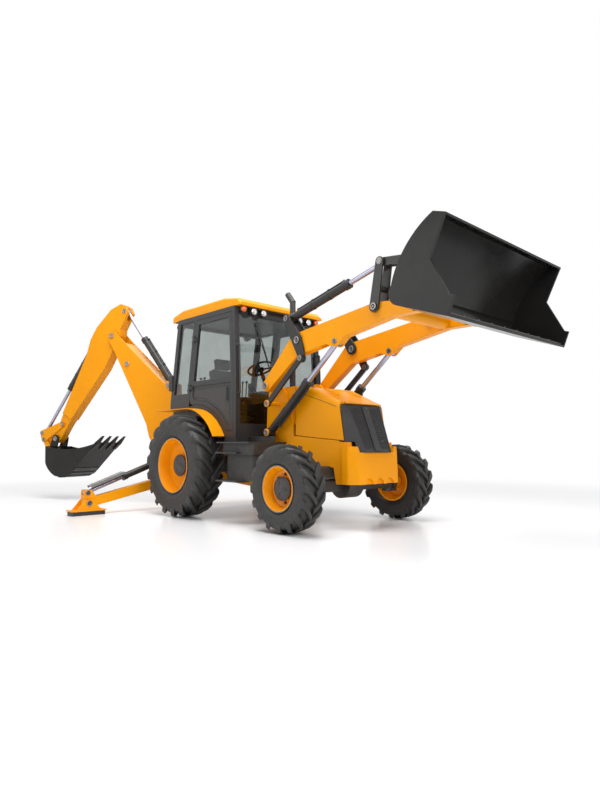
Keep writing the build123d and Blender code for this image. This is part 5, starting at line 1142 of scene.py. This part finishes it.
for i in range(3):
    spoke = Matrix.Rotation(2 * math.pi * i / 3 + 0.5, 3, column_run) @ across
    add_bar(
        bm, hub + column_run * 0.012 + spoke * 0.04, hub + column_run * 0.024 + spoke * 0.185, 0.011, 12
    )
for hand in (-1, 1):
    for step in (-0.05, 0.05):
        foot = Vector((-0.42 + step, hand * 0.40, floor_top + 0.60))
        head = foot + Vector((0.02, 0, 0.24))
        add_bar(bm, foot, head, 0.008, 12)
        bmesh.ops.create_uvsphere(
            bm, u_segments=18, v_segments=12, radius=0.022, matrix=Matrix.Translation(head)
        )
rounded_by_angle(bm, 50.0)
settled(bm, "steering_and_levers", plastic, "chassis")

# Buckets: welded charcoal shells, the loader bucket with a bolted cutting edge and the
# digging bucket with wear straps rolled round its floor.
edge_steel = grained(
    "edge_steel", (0.060, 0.058, 0.056), (0.095, 0.090, 0.085), 0.40, 0.10, 120.0, 0.2, 0.6, 0.0, 0.004
)
bucket_lip = Vector((4.379, 0.0, 2.058))
bucket_heel = Vector((3.836, 0.0, 2.247))
floor_run = (bucket_lip - bucket_heel).normalized()
floor_up = Vector((-floor_run.z, 0, floor_run.x))
bm = bmesh.new()
middle = bucket_lip - floor_run * 0.125 + floor_up * 0.030
add_block(bm, middle, (0.20, 2.26, 0.016), (floor_run, Vector((0, 1, 0)), floor_up), 0.005)
edge_bolts = 9
bolt_pitch = 0.25
for i in range(edge_bolts):
    spot = middle + Vector((0, -1.0 + bolt_pitch * i, 0)) + floor_up * 0.006
    add_bar(bm, spot, spot + floor_up * 0.016, 0.019, 6)
settled(bm, "loader_cutting_edge", edge_steel, "loader_bucket")
straps = bmesh.new()
floor_middle = (2.50, 0.75)
for angle in (-140, -118, -96, -74, -52):
    way = (math.cos(math.radians(angle)), math.sin(math.radians(angle)))
    start = backhoe_side((floor_middle[0] + way[0], floor_middle[1] + way[1]))
    aim = backhoe_side(floor_middle) - start
    spot, normal = on_skin("digger_bucket", start, aim)
    if spot:
        sideways = backhoe_side((0, 0), 1.0) - backhoe_side((0, 0))
        add_block(straps, spot + normal * 0.004, (0.60, 0.075, 0.012), axes_on(normal, sideways), 0.004)
settled(straps, "digger_wear_straps", edge_steel, "digger_bucket")

# Stabilisers: a folded sheet guard slides over each ram with its rod, and each yellow foot
# stands on a bolted rubber block.
guard_length = 0.54
guard_width = 0.128
guard_ribs = (-0.2, -0.1, 0.0, 0.1, 0.2)
guard_grey = painted_finish("guard_grey", (0.20, 0.20, 0.20), (0.25, 0.25, 0.25), 0.36, 0.2, 0.15, 0.003)
for hand, hand_name in ((-1, "right"), (1, "left")):
    view = leg_side(hand)
    foot, top = view(leg_ram[1]), view(leg_ram[0])
    run = (top - foot).normalized()
    back = Vector((1, 0, 0))
    up = run.cross(back) if run.cross(back).z > 0 else back.cross(run)
    bm = bmesh.new()
    middle = foot + run * 0.34 + up * 0.072
    add_block(bm, middle, (guard_length, guard_width, 0.008), (run, up.cross(run), up), 0.003)
    for way in (-1, 1):
        flange = middle + up.cross(run) * way * 0.061 - up * 0.014
        add_block(bm, flange, (guard_length, 0.006, 0.034), (run, up.cross(run), up), 0.002)
    for share in guard_ribs:
        add_block(
            bm, middle + run * share + up * 0.005, (0.020, 0.116, 0.006), (run, up.cross(run), up), 0.002
        )
    settled(bm, f"ram_guard_{hand_name}", guard_grey, f"leg_rod_{hand_name}")

rubber_height = 0.056
for hand_name in ("right", "left"):
    low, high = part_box(f"pad_{hand_name}")
    middle = (low + high) / 2
    bm = bmesh.new()
    add_block(
        bm, (middle.x, middle.y, rubber_height / 2), (0.196, high.y - low.y - 0.034, rubber_height), None,
        0.006,
    )
    settled(bm, f"foot_rubber_{hand_name}", rubber, f"pad_{hand_name}")

# Under the cab: black sheet splash shields between the cab floor and the side steps close
# the space over the transmission, and a cast saddle fills the frame over the front axle.
bm = bmesh.new()
for hand in (-1, 1):
    add_block(bm, (0.60, hand * 0.540, 1.055), (1.66, 0.012, 0.068), None, 0.003)
add_block(bm, (2.17, 0.0, 0.655), (0.20, 1.16, 0.150), None, 0.020)
settled(bm, "cab_splash_shields", satin_black, "chassis")
